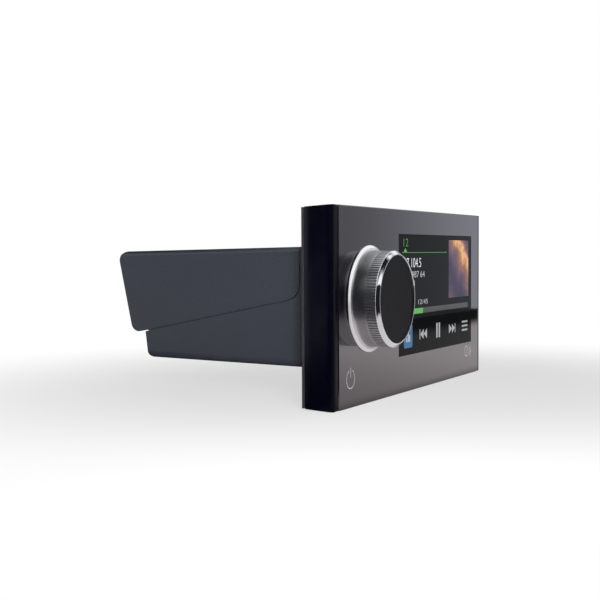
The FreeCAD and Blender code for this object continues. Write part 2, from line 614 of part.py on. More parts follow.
def make_encoder_housing():
    y0 = BEHIND_FACE_Y + ENCODER_PLATE
    body = encoder_block(y0, ENCODER_BACK_Y)
    rotor_room = bar_y(DIAL_X, DIAL_Z, ROTOR_RADIUS + 0.5, y0 - 1, ROTOR_Y + ROTOR_THICKNESS + 0.15, 12)
    shaft_room = bar_y(DIAL_X, DIAL_Z, SHAFT_RADIUS + 0.5, y0 - 1, ENCODER_BACK_Y - 0.5, 12)
    return body.cut(rotor_room.fuse(shaft_room))


def make_encoder_rotor():
    disc = bar_y(DIAL_X, DIAL_Z, ROTOR_RADIUS, ROTOR_Y, ROTOR_Y + ROTOR_THICKNESS, 12)
    return disc.cut(d_section(SHAFT_RADIUS + RUNNING_CLEARANCE, SHAFT_FLAT + RUNNING_CLEARANCE,
                              ROTOR_Y - 1, ROTOR_Y + ROTOR_THICKNESS + 1))


def make_press_dome():
    """Snap dome under the end of the shaft, one press and a little more away from it."""
    seat = ENCODER_BACK_Y - 0.5
    height = seat - SHAFT_END_Y - DIAL_PRESS - 0.1
    foot = 2.6
    return bar_y(DIAL_X, DIAL_Z, foot, seat - height, seat, 12)


def bush_hole():
    """Twelve-sided hole whose flats clear the bush."""
    clear = (BUSH_RADIUS + THREAD_CLEARANCE) / math.cos(math.pi / 12)
    return bar_y(DIAL_X, DIAL_Z, clear, GLASS_Y - 2, BEHIND_FACE_Y + 1, 12)


def make_encoder_washer():
    ring = bar_y(DIAL_X, DIAL_Z, WASHER_RADIUS, FACE_Y - WASHER_THICKNESS, FACE_Y, 12)
    return ring.cut(bush_hole())


def make_encoder_nut():
    corner = NUT_FLATS / math.sqrt(3)
    y0 = FACE_Y - WASHER_THICKNESS - NUT_THICKNESS
    points = [Vector(DIAL_X + corner * math.cos(math.radians(60 * i)), y0,
                     DIAL_Z + corner * math.sin(math.radians(60 * i))) for i in range(6)]
    nut = Part.Face(Part.makePolygon(points + points[:1])).extrude(Vector(0, NUT_THICKNESS, 0))
    return nut.cut(bush_hole())


def make_encoder_board():
    w, h = ENCODER_BOARD_HALF
    sheet = box(DIAL_X - w, DIAL_X + w, ENCODER_BACK_Y, ENCODER_BACK_Y + BOARD, DIAL_Z - h, DIAL_Z + h)
    holes = [bar_y(x, z, 1.0 + HOLE_CLEARANCE, ENCODER_BACK_Y - 1, ENCODER_BACK_Y + BOARD + 1)
             for x, z in encoder_posts()]
    return sheet.cut(Part.makeCompound(holes))


# Chassis

def long_edges(shape):
    """Edges that run from front to back for more than half of the chassis."""
    return [e for e in shape.Edges if e.Length > CHASSIS_LENGTH / 2
            and abs(e.Vertexes[0].X - e.Vertexes[-1].X) < 1]


def long_top_edges(shape):
    return [e for e in long_edges(shape) if e.CenterOfMass.z > chassis_top(HOOD_LENGTH) - 2 * SHEET_BEND]


def lower_outline(gap):
    """Side view of the lower half, with its seam this far below the top cover's edge."""
    drop = gap / math.cos(SEAM_SLOPE)
    seam_back = seam(CHASSIS_LENGTH) - drop
    corner_y = COLLAR_LENGTH
    return [(GASKET_Y, chassis_top(GASKET_Y)), (corner_y, chassis_top(corner_y)),
            (corner_y, seam(corner_y) - drop, SEAM_CORNER + gap), (CHASSIS_LENGTH, seam_back, 0.6),
            (CHASSIS_LENGTH - LOWER_BACK_LEAN, chassis_bottom(CHASSIS_LENGTH), LOWER_BACK_CORNER),
            (GASKET_Y, chassis_bottom(GASKET_Y))]


def make_chassis_lower():
    far = CHASSIS_LENGTH + 10
    blank = side_profile([(GASKET_Y - 5, chassis_bottom(GASKET_Y - 5)), (far, chassis_bottom(far)),
                          (far, CHASSIS_TOP + 5), (GASKET_Y - 5, CHASSIS_TOP + 5)], HALF_CHASSIS)
    bottom_edges = [e for e in long_edges(blank) if e.CenterOfMass.z < 0]
    blank = blank.makeFillet(BOTTOM_BEND, bottom_edges)
    body = blank.common(side_profile(lower_outline(SEAM_GAP), HALF_CHASSIS + 1))
    # Inner walls stand behind the side flaps and carry them
    inset = SHEET + 0.1
    core = side_profile([(COLLAR_LENGTH - 1, chassis_top(COLLAR_LENGTH) - inset),
                         (COLLAR_LENGTH - 1, CHASSIS_BOTTOM + 6),
                         (BACK_PANEL_Y, CHASSIS_BOTTOM + 6),
                         (BACK_PANEL_Y, chassis_top(BACK_PANEL_Y) - inset)], HALF_CHASSIS - inset)
    core = core.makeChamfer(SHEET_BEND - SHEET, long_top_edges(core))
    body = body.fuse(core)
    inner_half = HALF_CHASSIS - CHASSIS_WALL
    tunnel = side_profile([(GASKET_Y - 1, FLANGE_OPENING_TOP), (COLLAR_LENGTH, FLANGE_OPENING_TOP),
                           (COLLAR_LENGTH, CHASSIS_TOP + 5), (CHASSIS_LENGTH + 1, CHASSIS_TOP + 5),
                           (CHASSIS_LENGTH + 1, chassis_bottom(CHASSIS_LENGTH) + FLOOR_THICKNESS),
                           (COLLAR_LENGTH, chassis_bottom(COLLAR_LENGTH) + FLOOR_THICKNESS),
                           (GASKET_Y - 1, FLANGE_OPENING_BOTTOM)], inner_half)
    body = body.cut(tunnel)
    adds = [collar_corner(x, z, GASKET_Y, COLLAR_LENGTH) for x, z in collar_bosses()]
    adds += [bar_z(x, y, POST_RADIUS, chassis_bottom(y) + 1, BOARD_Z) for x, y in main_board_posts()]
    for x, z in back_panel_bosses():
        # the upper ones join the side wall, the lower ones the side wall and the floor
        wall_z = z - BACK_BOSS_RADIUS / 2 if z > 0 else chassis_bottom(BACK_PANEL_Y - 9) + 1
        adds.append(corner_boss(x, z, BACK_BOSS_RADIUS, BACK_PANEL_Y - 9, BACK_PANEL_Y,
                                HALF_CHASSIS - inset - 0.4, wall_z))
    body = fuse_all([body] + adds)
    cuts = [bar_y(x, z, SCREW_RADIUS + THREAD_CLEARANCE, GASKET_Y - 1, COLLAR_LENGTH - 1)
            for x, z in collar_bosses()]
    cuts += [bar_z(x, y, SCREW_RADIUS + THREAD_CLEARANCE, chassis_bottom(y) + 3, BOARD_Z + 1)
             for x, y in main_board_posts()]
    cuts += [bar_y(x, z, SCREW_RADIUS + THREAD_CLEARANCE, BACK_PANEL_Y - 8, BACK_PANEL_Y + 1)
             for x, z in back_panel_bosses()]
    return body.cut(Part.makeCompound(cuts)).removeSplitter()


BACK_BOSS_RADIUS = 3.2
BACK_BOSS_X = HALF_CHASSIS - CHASSIS_WALL - BACK_BOSS_RADIUS + 0.2
BACK_BOSS_BOTTOM = -19.4
BACK_BOSS_TOP = 18.4


def back_panel_bosses():
    return [(sx * BACK_BOSS_X, z) for sx in (-1, 1) for z in (BACK_BOSS_BOTTOM, BACK_BOSS_TOP)]


def main_board_posts():
    x = HALF_CHASSIS - CHASSIS_WALL - 6.5
    return [(sx * x, y) for sx in (-1, 1) for y in (BOARD_FRONT + 5, SOCKET_FRONT - 3.7)]


def hood_outline(inset):
    """Side view of the top cover, or of its inside when inset is the sheet."""
    top = inset / math.cos(CHASSIS_TAPER)
    bottom_back = seam(HOOD_LENGTH)
    lean = math.tan(HOOD_BACK_LEAN)
    slope = math.tan(SEAM_SLOPE)
    # where the seam line carried back meets the leaning back edge
    y_low = (hood_back(0) + lean * (SEAM_HEIGHT + COLLAR_LENGTH * slope)) / (1 + lean * slope)
    front = COLLAR_LENGTH + SEAM_GAP
    if inset == 0:
        return [(front, chassis_top(front)), (front, seam(front), SEAM_CORNER),
                (y_low, seam(y_low), HOOD_CORNER), (HOOD_LENGTH, chassis_top(HOOD_LENGTH), HOOD_CORNER)]
    return [(front - 1, chassis_top(front - 1) - top), (front - 1, bottom_back - 10),
            (HOOD_LENGTH + 5, bottom_back - 10), (HOOD_LENGTH + 5, chassis_top(HOOD_LENGTH + 5) - top)]


def make_top_cover():
    far = HOOD_LENGTH + 10
    blank = side_profile([(0, chassis_top(0)), (0, CHASSIS_BOTTOM), (far, CHASSIS_BOTTOM),
                          (far, chassis_top(far))], HALF_CHASSIS)
    blank = blank.makeFillet(SHEET_BEND, long_top_edges(blank))
    hood = blank.common(side_profile(hood_outline(0), HALF_CHASSIS + 1))
    inside = side_profile(hood_outline(SHEET), HALF_CHASSIS - SHEET)
    inside = inside.makeFillet(SHEET_BEND - SHEET, long_top_edges(inside))
    hood = hood.cut(inside)
    holes = [bar_z(x, y, SCREW_RADIUS + 0.1, 15, 30) for x, y in cover_screw_places()]
    heads = [countersink(x, y, 0.1) for x, y in cover_screw_places()]
    return hood.cut(Part.makeCompound(holes + heads))


def cover_screw_places():
    return [(x, BACK_PANEL_Y - 4.5) for x in (-52.0, 52.0)]


def countersink(x, y, clearance):
    top = chassis_top(y) - 0.02
    depth = SHEET - 0.25
    small = facet_bar(Vector(x, y, top - depth), Vector(0, 0, 1), SCREW_RADIUS + clearance, depth)
    large = facet_bar(Vector(x, y, top), Vector(0, 0, 1), SCREW_RADIUS + depth + clearance, depth)
    lower = [w for f in small.Faces for w in f.Wires if abs(f.CenterOfMass.z - top + depth) < 1e-6]
    upper = [w for f in large.Faces for w in f.Wires if abs(f.CenterOfMass.z - top) < 1e-6]
    return Part.makeLoft([lower[0], upper[0]], True, True)


def make_cover_screws():
    solids = []
    for x, y in cover_screw_places():
        top = chassis_top(y) - 0.02
        shank = bar_z(x, y, SCREW_RADIUS, top - 3.1, top - 0.5)
        solids.append(countersink(x, y, 0).fuse(shank))
    return Part.makeCompound(solids)


# Back panel, heatsink and their screws

def back_cutouts():
    """Openings in the back panel for the heatsink and for every socket."""
    y0, y1 = BACK_PANEL_Y - 1, CHASSIS_LENGTH + 1
    gap = SOCKET_CLEARANCE
    cuts = [box(HEATSINK_X0 + 1.5, HEATSINK_X1 - 1.5, y0, y1, HEATSINK_Z0 + 1.5, HEATSINK_Z1 - 1.5)]
    for socket, z in lower_sockets() + upper_sockets():
        half = socket["width"] / 2 + gap
        cuts.append(box(socket["x"] - half, socket["x"] + half, y0, y1, z - gap, z + socket["height"] + gap))
    cuts.append(bar_y(NETWORK_X, NETWORK_Z, NETWORK_RADIUS + 2 * gap, y0, y1, 12))
    cuts.append(bar_y(ANTENNA_X, ANTENNA_Z, ANTENNA_RADIUS + 2 * gap, y0, y1, 12))
    half = FUSE_WIDTH / 2 + 1.5 + gap
    cuts.append(box(FUSE_X - half, FUSE_X + half, y0, y1, FUSE_Z - 4 - gap, FUSE_Z + 4 + gap))
    return cuts


def lower_sockets():
    return [(POWER_SOCKET, BOARD_TOP), (LINE_SOCKET, BOARD_TOP), (DATA_SOCKET, BOARD_TOP)]


def upper_sockets():
    return [(USB_SOCKET, MEDIA_TOP), (OPTICAL_SOCKET, MEDIA_TOP)]


def make_rear_panel():
    half = HALF_CHASSIS - CHASSIS_WALL - 0.2
    bottom = chassis_bottom(CHASSIS_LENGTH) + FLOOR_THICKNESS + 0.2
    top = chassis_top(BACK_PANEL_Y) - SHEET - 0.2
    sheet = box(-half, half, BACK_PANEL_Y, CHASSIS_LENGTH, bottom, top)
    lip = box(-half + 7, half - 7, BACK_PANEL_Y - 8.5, BACK_PANEL_Y, top - LIP_THICKNESS, top)
    panel = sheet.fuse(lip)
    screws = [bar_y(x, z, SCREW_RADIUS + HOLE_CLEARANCE, BACK_PANEL_Y - 1, CHASSIS_LENGTH + 1)
              for x, z in back_panel_bosses() + heatsink_screw_places()]
    screws += [bar_z(x, y, SCREW_RADIUS + THREAD_CLEARANCE, 10, 30) for x, y in cover_screw_places()]
    return panel.cut(Part.makeCompound(back_cutouts() + screws)).removeSplitter()


def heatsink_screw_places():
    z = HEATSINK_Z0 - 2.4
    return [(HEATSINK_X0 + 6, z), (HEATSINK_X1 - 6, z)]


HEATSINK_Y = BACK_PANEL_Y - HEATSINK_BASE


def make_heatsink():
    """Base plate inside the back panel, fins reaching out through it under the hood."""
    base = box(HEATSINK_X0, HEATSINK_X1, HEATSINK_Y, BACK_PANEL_Y, HEATSINK_Z0 - 5.0, HEATSINK_Z1)
    z0, z1 = HEATSINK_Z0 + 2.0, HEATSINK_Z1 - 2.0
    count = int((HEATSINK_X1 - HEATSINK_X0 - 4.0) / FIN_PITCH)
    start = (HEATSINK_X0 + HEATSINK_X1 - (count - 1) * FIN_PITCH) / 2
    fins = []
    for i in range(count):
        x = start + i * FIN_PITCH - FIN_THICKNESS / 2
        y0 = BACK_PANEL_Y - 0.5
        low_y, high_y = hood_back(z0) - FIN_SETBACK, hood_back(z1) - FIN_SETBACK
        corners = [(y0, z0), (low_y - FIN_CHAMFER, z0), (low_y, z0 + FIN_CHAMFER),
                   (high_y, z1 - FIN_CHAMFER), (high_y - FIN_CHAMFER, z1), (y0, z1)]
        wire = Part.makePolygon([Vector(x, y, z) for y, z in corners + corners[:1]])
        fins.append(Part.Face(wire).extrude(Vector(FIN_THICKNESS, 0, 0)))
    sink = fuse_all([base] + fins)
    holes = [bar_y(x, z, SCREW_RADIUS + THREAD_CLEARANCE, HEATSINK_Y - 1, BACK_PANEL_Y + 1)
             for x, z in heatsink_screw_places()]
    holes += [bar_y(x, z, 1.0 + THREAD_CLEARANCE, HEATSINK_Y - 1, HEATSINK_Y + 3)
              for x, z in clamp_screw_places()]
    return sink.cut(Part.makeCompound(holes))


CHIP_X = (HEATSINK_X0 + 22.0, HEATSINK_X1 - 26.0)
CHIP_WIDTH = 20.0
CHIP_THICKNESS = 4.5
CHIP_Z0 = -1.0
CHIP_Z1 = 14.0
CHIP_LEGS = 5
CHIP_LEG_PITCH = 3.6
CHIP_LEG_Y = SOCKET_FRONT - 1.5     # the legs are bent forward over the sockets
LEG = 0.7
CLAMP_THICKNESS = 2.0


def clamp_screw_places():
    middle = sum(CHIP_X) / 2
    return [(CHIP_X[0] - CHIP_WIDTH / 2 - 4, 8.0), (middle, 8.0), (CHIP_X[1] + CHIP_WIDTH / 2 + 4, 8.0)]


def make_amplifier_chips():
    """Two power amplifiers against the heatsink, their legs bent forward and down to the board."""
    solids = []
    for x in CHIP_X:
        chip = box(x - CHIP_WIDTH / 2, x + CHIP_WIDTH / 2, HEATSINK_Y - CHIP_THICKNESS, HEATSINK_Y,
                   CHIP_Z0, CHIP_Z1)
        legs = []
        for i in range(CHIP_LEGS):
            lx = x + (i - (CHIP_LEGS - 1) / 2) * CHIP_LEG_PITCH - LEG / 2
            legs.append(box(lx, lx + LEG, CHIP_LEG_Y, HEATSINK_Y - 2.0, CHIP_Z0 - LEG, CHIP_Z0))
            legs.append(box(lx, lx + LEG, CHIP_LEG_Y, CHIP_LEG_Y + LEG, BOARD_TOP, CHIP_Z0))
        solids.append(fuse_all([chip] + legs))
    return Part.makeCompound(solids)


def make_amplifier_clamp():
    y1 = HEATSINK_Y - CHIP_THICKNESS
    places = clamp_screw_places()
    bar = box(places[0][0] - 4, places[-1][0] + 4, y1 - CLAMP_THICKNESS, y1, 4.5, 11.5)
    feet = [bar_y(x, z, 2.8, y1, HEATSINK_Y) for x, z in places]
    holes = [bar_y(x, z, 1.0 + HOLE_CLEARANCE, y1 - 5, HEATSINK_Y + 1) for x, z in places]
    return fuse_all([bar] + feet).cut(Part.makeCompound(holes))


# Main board and what is on it

def make_main_board():
    half = HALF_CHASSIS - CHASSIS_WALL - BOARD_MARGIN
    sheet = box(-half, half, BOARD_FRONT, BACK_PANEL_Y - 2.0, BOARD_Z, BOARD_TOP)
    holes = [bar_z(x, y, SCREW_RADIUS + HOLE_CLEARANCE, BOARD_Z - 1, BOARD_TOP + 1)
             for x, y in main_board_posts()]
    reliefs = [box(x - 4.2, x + 4.2, BACK_PANEL_Y - 9.5, BACK_PANEL_Y, BOARD_Z - 1, BOARD_TOP + 1)
               for x in (-BACK_BOSS_X, BACK_BOSS_X)]
    return sheet.cut(Part.makeCompound(holes + reliefs))


CAPACITOR_RADIUS = 8.0
CAPACITOR_HEIGHT = 25.0
CAPACITOR_X = 19.0 - RIGHT_WALL
CAPACITOR_PITCH = 18.0
COIL = 11.0
COIL_HEIGHT = 9.0
COIL_PITCH = 13.0
PROCESSOR = 16.0
PROCESSOR_HEIGHT = 1.8


def make_power_capacitors():
    return Part.makeCompound([bar_z(CAPACITOR_X, SOCKET_FRONT - 20.0 - i * CAPACITOR_PITCH, CAPACITOR_RADIUS,
                                    BOARD_TOP, BOARD_TOP + CAPACITOR_HEIGHT, 20) for i in range(2)])


def make_filter_coils():
    y1 = SOCKET_FRONT - 7.5
    coils = []
    for i in range(4):
        x = CAPACITOR_X + CAPACITOR_PITCH + i * COIL_PITCH
        coils.append(box(x - COIL / 2, x + COIL / 2, y1 - COIL, y1, BOARD_TOP, BOARD_TOP + COIL_HEIGHT))
    return Part.makeCompound(coils)


def make_signal_processor():
    y0 = BOARD_FRONT + 17.0
    return box(-4.0, PROCESSOR - 4.0, y0, y0 + PROCESSOR, BOARD_TOP, BOARD_TOP + PROCESSOR_HEIGHT)


def media_board_posts():
    x1 = HALF_CHASSIS - CHASSIS_WALL - 6.0
    return [(x, y) for x in (MEDIA_BOARD_X0 + 4.0, x1 - 8.0)
            for y in (MEDIA_BOARD_FRONT + 4, SOCKET_FRONT - 8)]


def make_media_board_posts():
    solids = []
    for x, y in media_board_posts():
        post = bar_z(x, y, 2.6, BOARD_TOP, MEDIA_BOARD_Z, 6)
        solids.append(post.cut(bar_z(x, y, 1.0 + THREAD_CLEARANCE, MEDIA_BOARD_Z - 6, MEDIA_BOARD_Z + 1)))
    return Part.makeCompound(solids)


def make_media_board():
    x1 = HALF_CHASSIS - CHASSIS_WALL - BOARD_MARGIN
    sheet = box(MEDIA_BOARD_X0, x1, MEDIA_BOARD_FRONT, BACK_PANEL_Y - 1.5, MEDIA_BOARD_Z, MEDIA_TOP)
    holes = [bar_z(x, y, 1.0 + HOLE_CLEARANCE, MEDIA_BOARD_Z - 1, MEDIA_TOP + 1)
             for x, y in media_board_posts()]
    return sheet.cut(Part.makeCompound(holes))


def shield_can(x0, x1, y0, y1, z0, height):
    can = box(x0, x1, y0, y1, z0, z0 + height)
    return can.makeChamfer(0.6, [e for e in can.Edges if abs(e.CenterOfMass.z - z0 - height) < 1e-6])


TUNER_WIDTH = 22.0
TUNER_LENGTH = 21.0
TUNER_HEIGHT = 7.0
WIRELESS = 16.0
WIRELESS_HEIGHT = 2.4
LINK_WIDTH = 22.0
LINK_LENGTH = 6.0


def make_tuner_module():
    x0, y0 = RIGHT_WALL - TUNER_WIDTH - 7.0, MEDIA_BOARD_FRONT + 6.5
    return shield_can(x0, x0 + TUNER_WIDTH, y0, y0 + TUNER_LENGTH, MEDIA_TOP, TUNER_HEIGHT)


def make_wireless_module():
    x0, y0 = MEDIA_BOARD_X0 + 8.0, MEDIA_BOARD_FRONT + 10.0
    return shield_can(x0, x0 + WIRELESS, y0, y0 + WIRELESS, MEDIA_TOP, WIRELESS_HEIGHT)


def make_board_link():
    x0, y0 = MEDIA_BOARD_X0 + 12.0, MEDIA_BOARD_FRONT + 6.0
    return box(x0, x0 + LINK_WIDTH, y0, y0 + LINK_LENGTH, BOARD_TOP, MEDIA_BOARD_Z)


RIBBON_WIDTH = 20.0
RIBBON_INSET = 26.4         # left end of the display board to the middle of the ribbon


def make_ribbon_cable():
    """Flat cable from the display board down and back to the main board."""
    y0 = DISPLAY_BOARD_Y + BOARD
    thickness = 0.3
    z_top, z_board = -6.0, BOARD_TOP + 4.0
    path = [(y0, z_top), (y0, z_top + thickness), (BOARD_FRONT + 6.0, z_top + thickness, 2.3),
            (BOARD_FRONT + 6.0, z_board), (BOARD_FRONT + 6.0 - thickness, z_board),
            (BOARD_FRONT + 6.0 - thickness, z_top, 2.0)]
    ribbon = side_profile(path, RIBBON_WIDTH / 2)
    half = RIBBON_WIDTH / 2 + 2.0
    header = box(-half, half, BOARD_FRONT + 4.0, BOARD_FRONT + 8.0, BOARD_TOP, z_board)
    return fuse_all([ribbon, header]).translated(Vector(DISPLAY_BOARD_X0 + RIBBON_INSET, 0, 0))


# Sockets

def socket_back(socket):
    return CHASSIS_LENGTH + socket["standout"]


def shell_socket(socket, z, mouth_depth=SOCKET_MOUTH_DEPTH, wall=SOCKET_WALL):
    half = socket["width"] / 2
    body = box(socket["x"] - half, socket["x"] + half, SOCKET_FRONT, socket_back(socket),
               z, z + socket["height"])
    mouth = box(socket["x"] - half + wall, socket["x"] + half - wall, socket_back(socket) - mouth_depth,
                socket_back(socket) + 1, z + wall, z + socket["height"] - wall)
    return body.cut(mouth)


def pin_block(socket, z, columns, rows, pitch, size):
    pins = []
    y0 = socket_back(socket) - SOCKET_MOUTH_DEPTH
    middle_z = z + socket["height"] / 2
    for i in range(columns):
        for j in range(rows):
            x = socket["x"] + (i - (columns - 1) / 2) * pitch
            pz = middle_z + (j - (rows - 1) / 2) * pitch
            pins.append(box(x - size / 2, x + size / 2, y0, y0 + PIN_LENGTH, pz - size / 2, pz + size / 2))
    return Part.makeCompound(pins)


def make_power_socket():
    return shell_socket(POWER_SOCKET, BOARD_TOP)


def make_power_pins():
    return pin_block(POWER_SOCKET, BOARD_TOP, 8, 2, 4.0, 1.2)


def make_line_socket():
    return shell_socket(LINE_SOCKET, BOARD_TOP)


def make_line_pins():
    return pin_block(LINE_SOCKET, BOARD_TOP, 6, 2, 2.5, 0.8)


def make_data_socket():
    return shell_socket(DATA_SOCKET, BOARD_TOP, 11.0, 2.2)


def make_usb_socket():
    x, depth, wall = USB_SOCKET["x"], 11.0, 0.7
    back, ceiling = socket_back(USB_SOCKET), MEDIA_TOP + USB_SOCKET["height"] - wall
    tongue = box(x - 5.6, x + 5.6, back - depth - 1, back - 1.0, ceiling - 0.2 - 1.2, ceiling - 0.2)
    return shell_socket(USB_SOCKET, MEDIA_TOP, depth, wall).fuse(tongue)


def make_optical_socket():
    return shell_socket(OPTICAL_SOCKET, MEDIA_TOP, 3.0, 1.6)


def make_network_socket():
    flange = bar_y(NETWORK_X, NETWORK_Z, NETWORK_FLANGE_RADIUS, CHASSIS_LENGTH, CHASSIS_LENGTH + 1.6, 6)
    tube = rod_y(NETWORK_X, NETWORK_Z, NETWORK_RADIUS, CHASSIS_LENGTH + 1.6,
                 CHASSIS_LENGTH + 1.6 + NETWORK_STANDOUT)
    stem = bar_y(NETWORK_X, NETWORK_Z, NETWORK_RADIUS, SOCKET_FRONT, CHASSIS_LENGTH + 1, 8)
    bore = bar_y(NETWORK_X, NETWORK_Z, NETWORK_RADIUS - 1.4, CHASSIS_LENGTH, CHASSIS_LENGTH + 20, 12)
    return flange.multiFuse([tube, stem]).cut(bore).removeSplitter()


def make_network_contacts():
    base = bar_y(NETWORK_X, NETWORK_Z, NETWORK_RADIUS - 1.5, CHASSIS_LENGTH, CHASSIS_LENGTH + 2.0, 12)
    pins = [bar_y(NETWORK_X, NETWORK_Z, 0.5, CHASSIS_LENGTH + 2.0, CHASSIS_LENGTH + 5.0, 4)]
    for i in range(4):
        angle = math.radians(45 + 90 * i)
        pins.append(bar_y(NETWORK_X + 2.6 * math.cos(angle), NETWORK_Z + 2.6 * math.sin(angle), 0.5,
                          CHASSIS_LENGTH + 2.0, CHASSIS_LENGTH + 5.0, 4))
    return fuse_all([base] + pins)


def make_antenna_socket():
    back = CHASSIS_LENGTH + 7.5
    tube = bar_y(ANTENNA_X, ANTENNA_Z, ANTENNA_RADIUS, BACK_PANEL_Y - 2, back, 16)
    foot = box(ANTENNA_X - 5.0, ANTENNA_X + 5.0, SOCKET_FRONT + 2, BACK_PANEL_Y - 2,
               MEDIA_TOP, ANTENNA_Z + 4.0)
    bore = rod_y(ANTENNA_X, ANTENNA_Z, ANTENNA_BORE_RADIUS, back - ANTENNA_BORE_DEPTH, back + 1)
    contact = bar_y(ANTENNA_X, ANTENNA_Z, 1.6, back - ANTENNA_BORE_DEPTH - 6, back)
    return fuse_all([tube, foot]).cut(Part.makeCompound([bore, contact]))


def make_fuse_holder():
    half = FUSE_WIDTH / 2 + 1.5
    body = box(FUSE_X - half, FUSE_X + half, SOCKET_FRONT, CHASSIS_LENGTH + 3, FUSE_Z - 4, FUSE_Z + 4)
    leg = box(FUSE_X - half, FUSE_X + half, SOCKET_FRONT, SOCKET_FRONT + 6, BOARD_TOP, FUSE_Z - 4)
    slot_half = FUSE_THICKNESS / 2 + 0.2
    slot = box(FUSE_X - FUSE_WIDTH / 2 - 0.2, FUSE_X + FUSE_WIDTH / 2 + 0.2, CHASSIS_LENGTH - 5,
               CHASSIS_LENGTH + 5, FUSE_Z - slot_half, FUSE_Z + slot_half)
    return fuse_all([body, leg]).cut(slot)


def make_blade_fuse():
    half = FUSE_WIDTH / 2
    return box(FUSE_X - half, FUSE_X + half, CHASSIS_LENGTH - 4.9, CHASSIS_LENGTH + 6.5,
               FUSE_Z - FUSE_THICKNESS / 2, FUSE_Z + FUSE_THICKNESS / 2)


# Screws, one node for each kind

def make_frame_screws():
    """Low-head screws that hold the front frame to the chassis collar."""
    solids = []
    for x, z in collar_bosses():
        shank = bar_y(x, z, SCREW_RADIUS, FLANGE_Y - 0.2, GASKET_Y + 6)
        head = bar_y(x, z, SCREW_HEAD_RADIUS, FLANGE_Y - 1.0, FLANGE_Y)
        solids.append(shank.fuse(head))
    return Part.makeCompound(solids)


def make_retainer_screws():
    y = RETAINER_Y + RETAINER_THICKNESS
    return Part.makeCompound([screw_y(x, z, y, 3.8, 1, head=0.6) for x, z in retainer_posts()])


def make_display_board_screws():
    y = DISPLAY_BOARD_Y + BOARD
    return Part.makeCompound([screw_y(x, z, y, BOARD + 0.6, 1, 1.0, 0.9, 1.8) for x, z in board_spots()])


def make_encoder_board_screws():
    y = ENCODER_BACK_Y + BOARD
    return Part.makeCompound([screw_y(x, z, y, 5.0, 1, 1.0, 1.2, 1.8) for x, z in encoder_posts()])


def make_main_board_screws():
    return Part.makeCompound([screw_z(x, y, BOARD_TOP, 4.0) for x, y in main_board_posts()])


def make_media_board_screws():
    return Part.makeCompound([screw_z(x, y, MEDIA_TOP, 5.0, 1.0, 1.2, 1.8) for x, y in media_board_posts()])


def make_rear_panel_screws():
    places = back_panel_bosses() + heatsink_screw_places()
    return Part.makeCompound([screw_y(x, z, CHASSIS_LENGTH, 5.0, 1) for x, z in places])


def make_clamp_screws():
    y = HEATSINK_Y - CHIP_THICKNESS - CLAMP_THICKNESS
    return Part.makeCompound([screw_y(x, z, y, 9.0, -1, 1.0, 1.2, 1.9) for x, z in clamp_screw_places()])


PIECES = {
    "cover_glass": make_cover_glass,
    "glass_bond": make_glass_bond,
    "front_frame": make_front_frame,
    "mounting_gasket": make_mounting_gasket,
    "side_cover_left": lambda: make_side_cover(-1),
    "side_cover_right": lambda: make_side_cover(1),
    "frame_screws": make_frame_screws,
    "touch_sensor": make_touch_sensor,
    "lcd_panel": make_lcd_panel,
    "backlight_tray": make_backlight_tray,
    "light_guide": make_light_guide,
    "display_retainer": make_display_retainer,
    "retainer_screws": make_retainer_screws,
    "display_board": make_display_board,
    "display_board_screws": make_display_board_screws,
    "knob_trim_ring": make_knob_trim_ring,
    "knob_body": make_knob_body,
    "knob_cap": make_knob_cap,
    "encoder_shaft": make_encoder_shaft,
    "encoder_bush": make_encoder_bush,
    "encoder_housing": make_encoder_housing,
    "encoder_rotor": make_encoder_rotor,
    "press_dome": make_press_dome,
    "encoder_washer": make_encoder_washer,
    "encoder_nut": make_encoder_nut,
    "encoder_board": make_encoder_board,
    "encoder_board_screws": make_encoder_board_screws,
    "ribbon_cable": make_ribbon_cable,
    "chassis_lower": make_chassis_lower,
    "top_cover": make_top_cover,
    "cover_screws": make_cover_screws,
    "rear_panel": make_rear_panel,
    "rear_panel_screws": make_rear_panel_screws,
    "heatsink": make_heatsink,
    "amplifier_chips": make_amplifier_chips,
    "amplifier_clamp": make_amplifier_clamp,
    "clamp_screws": make_clamp_screws,
    "main_board": make_main_board,
    "main_board_screws": make_main_board_screws,
    "power_capacitors": make_power_capacitors,
    "filter_coils": make_filter_coils,
    "signal_processor": make_signal_processor,
    "media_board": make_media_board,
    "media_board_posts": make_media_board_posts,
    "media_board_screws": make_media_board_screws,
    "board_link": make_board_link,
    "tuner_module": make_tuner_module,
    "wireless_module": make_wireless_module,
    "power_socket": make_power_socket,
    "power_pins": make_power_pins,
    "line_socket": make_line_socket,
    "line_pins": make_line_pins,
    "data_socket": make_data_socket,
    "usb_socket": make_usb_socket,
    "optical_socket": make_optical_socket,
    "network_socket": make_network_socket,
    "network_contacts": make_network_contacts,
    "antenna_socket": make_antenna_socket,
    "fuse_holder": make_fuse_holder,
    "blade_fuse": make_blade_fuse,
}

os.makedirs("parts", exist_ok=True)
for name, make in PIECES.items():
    make().exportStep("parts/" + name + ".step")
print(len(PIECES), "pieces written")
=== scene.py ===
"""Looks of the marine stereo: a finish for every part, the turned dial, the lit picture, screw heads and the stage.

Metres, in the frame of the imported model: +X right, +Y back into the dash, +Z up.
"""

import json
import math

import bmesh
import bpy
from mathutils import Matrix, Vector


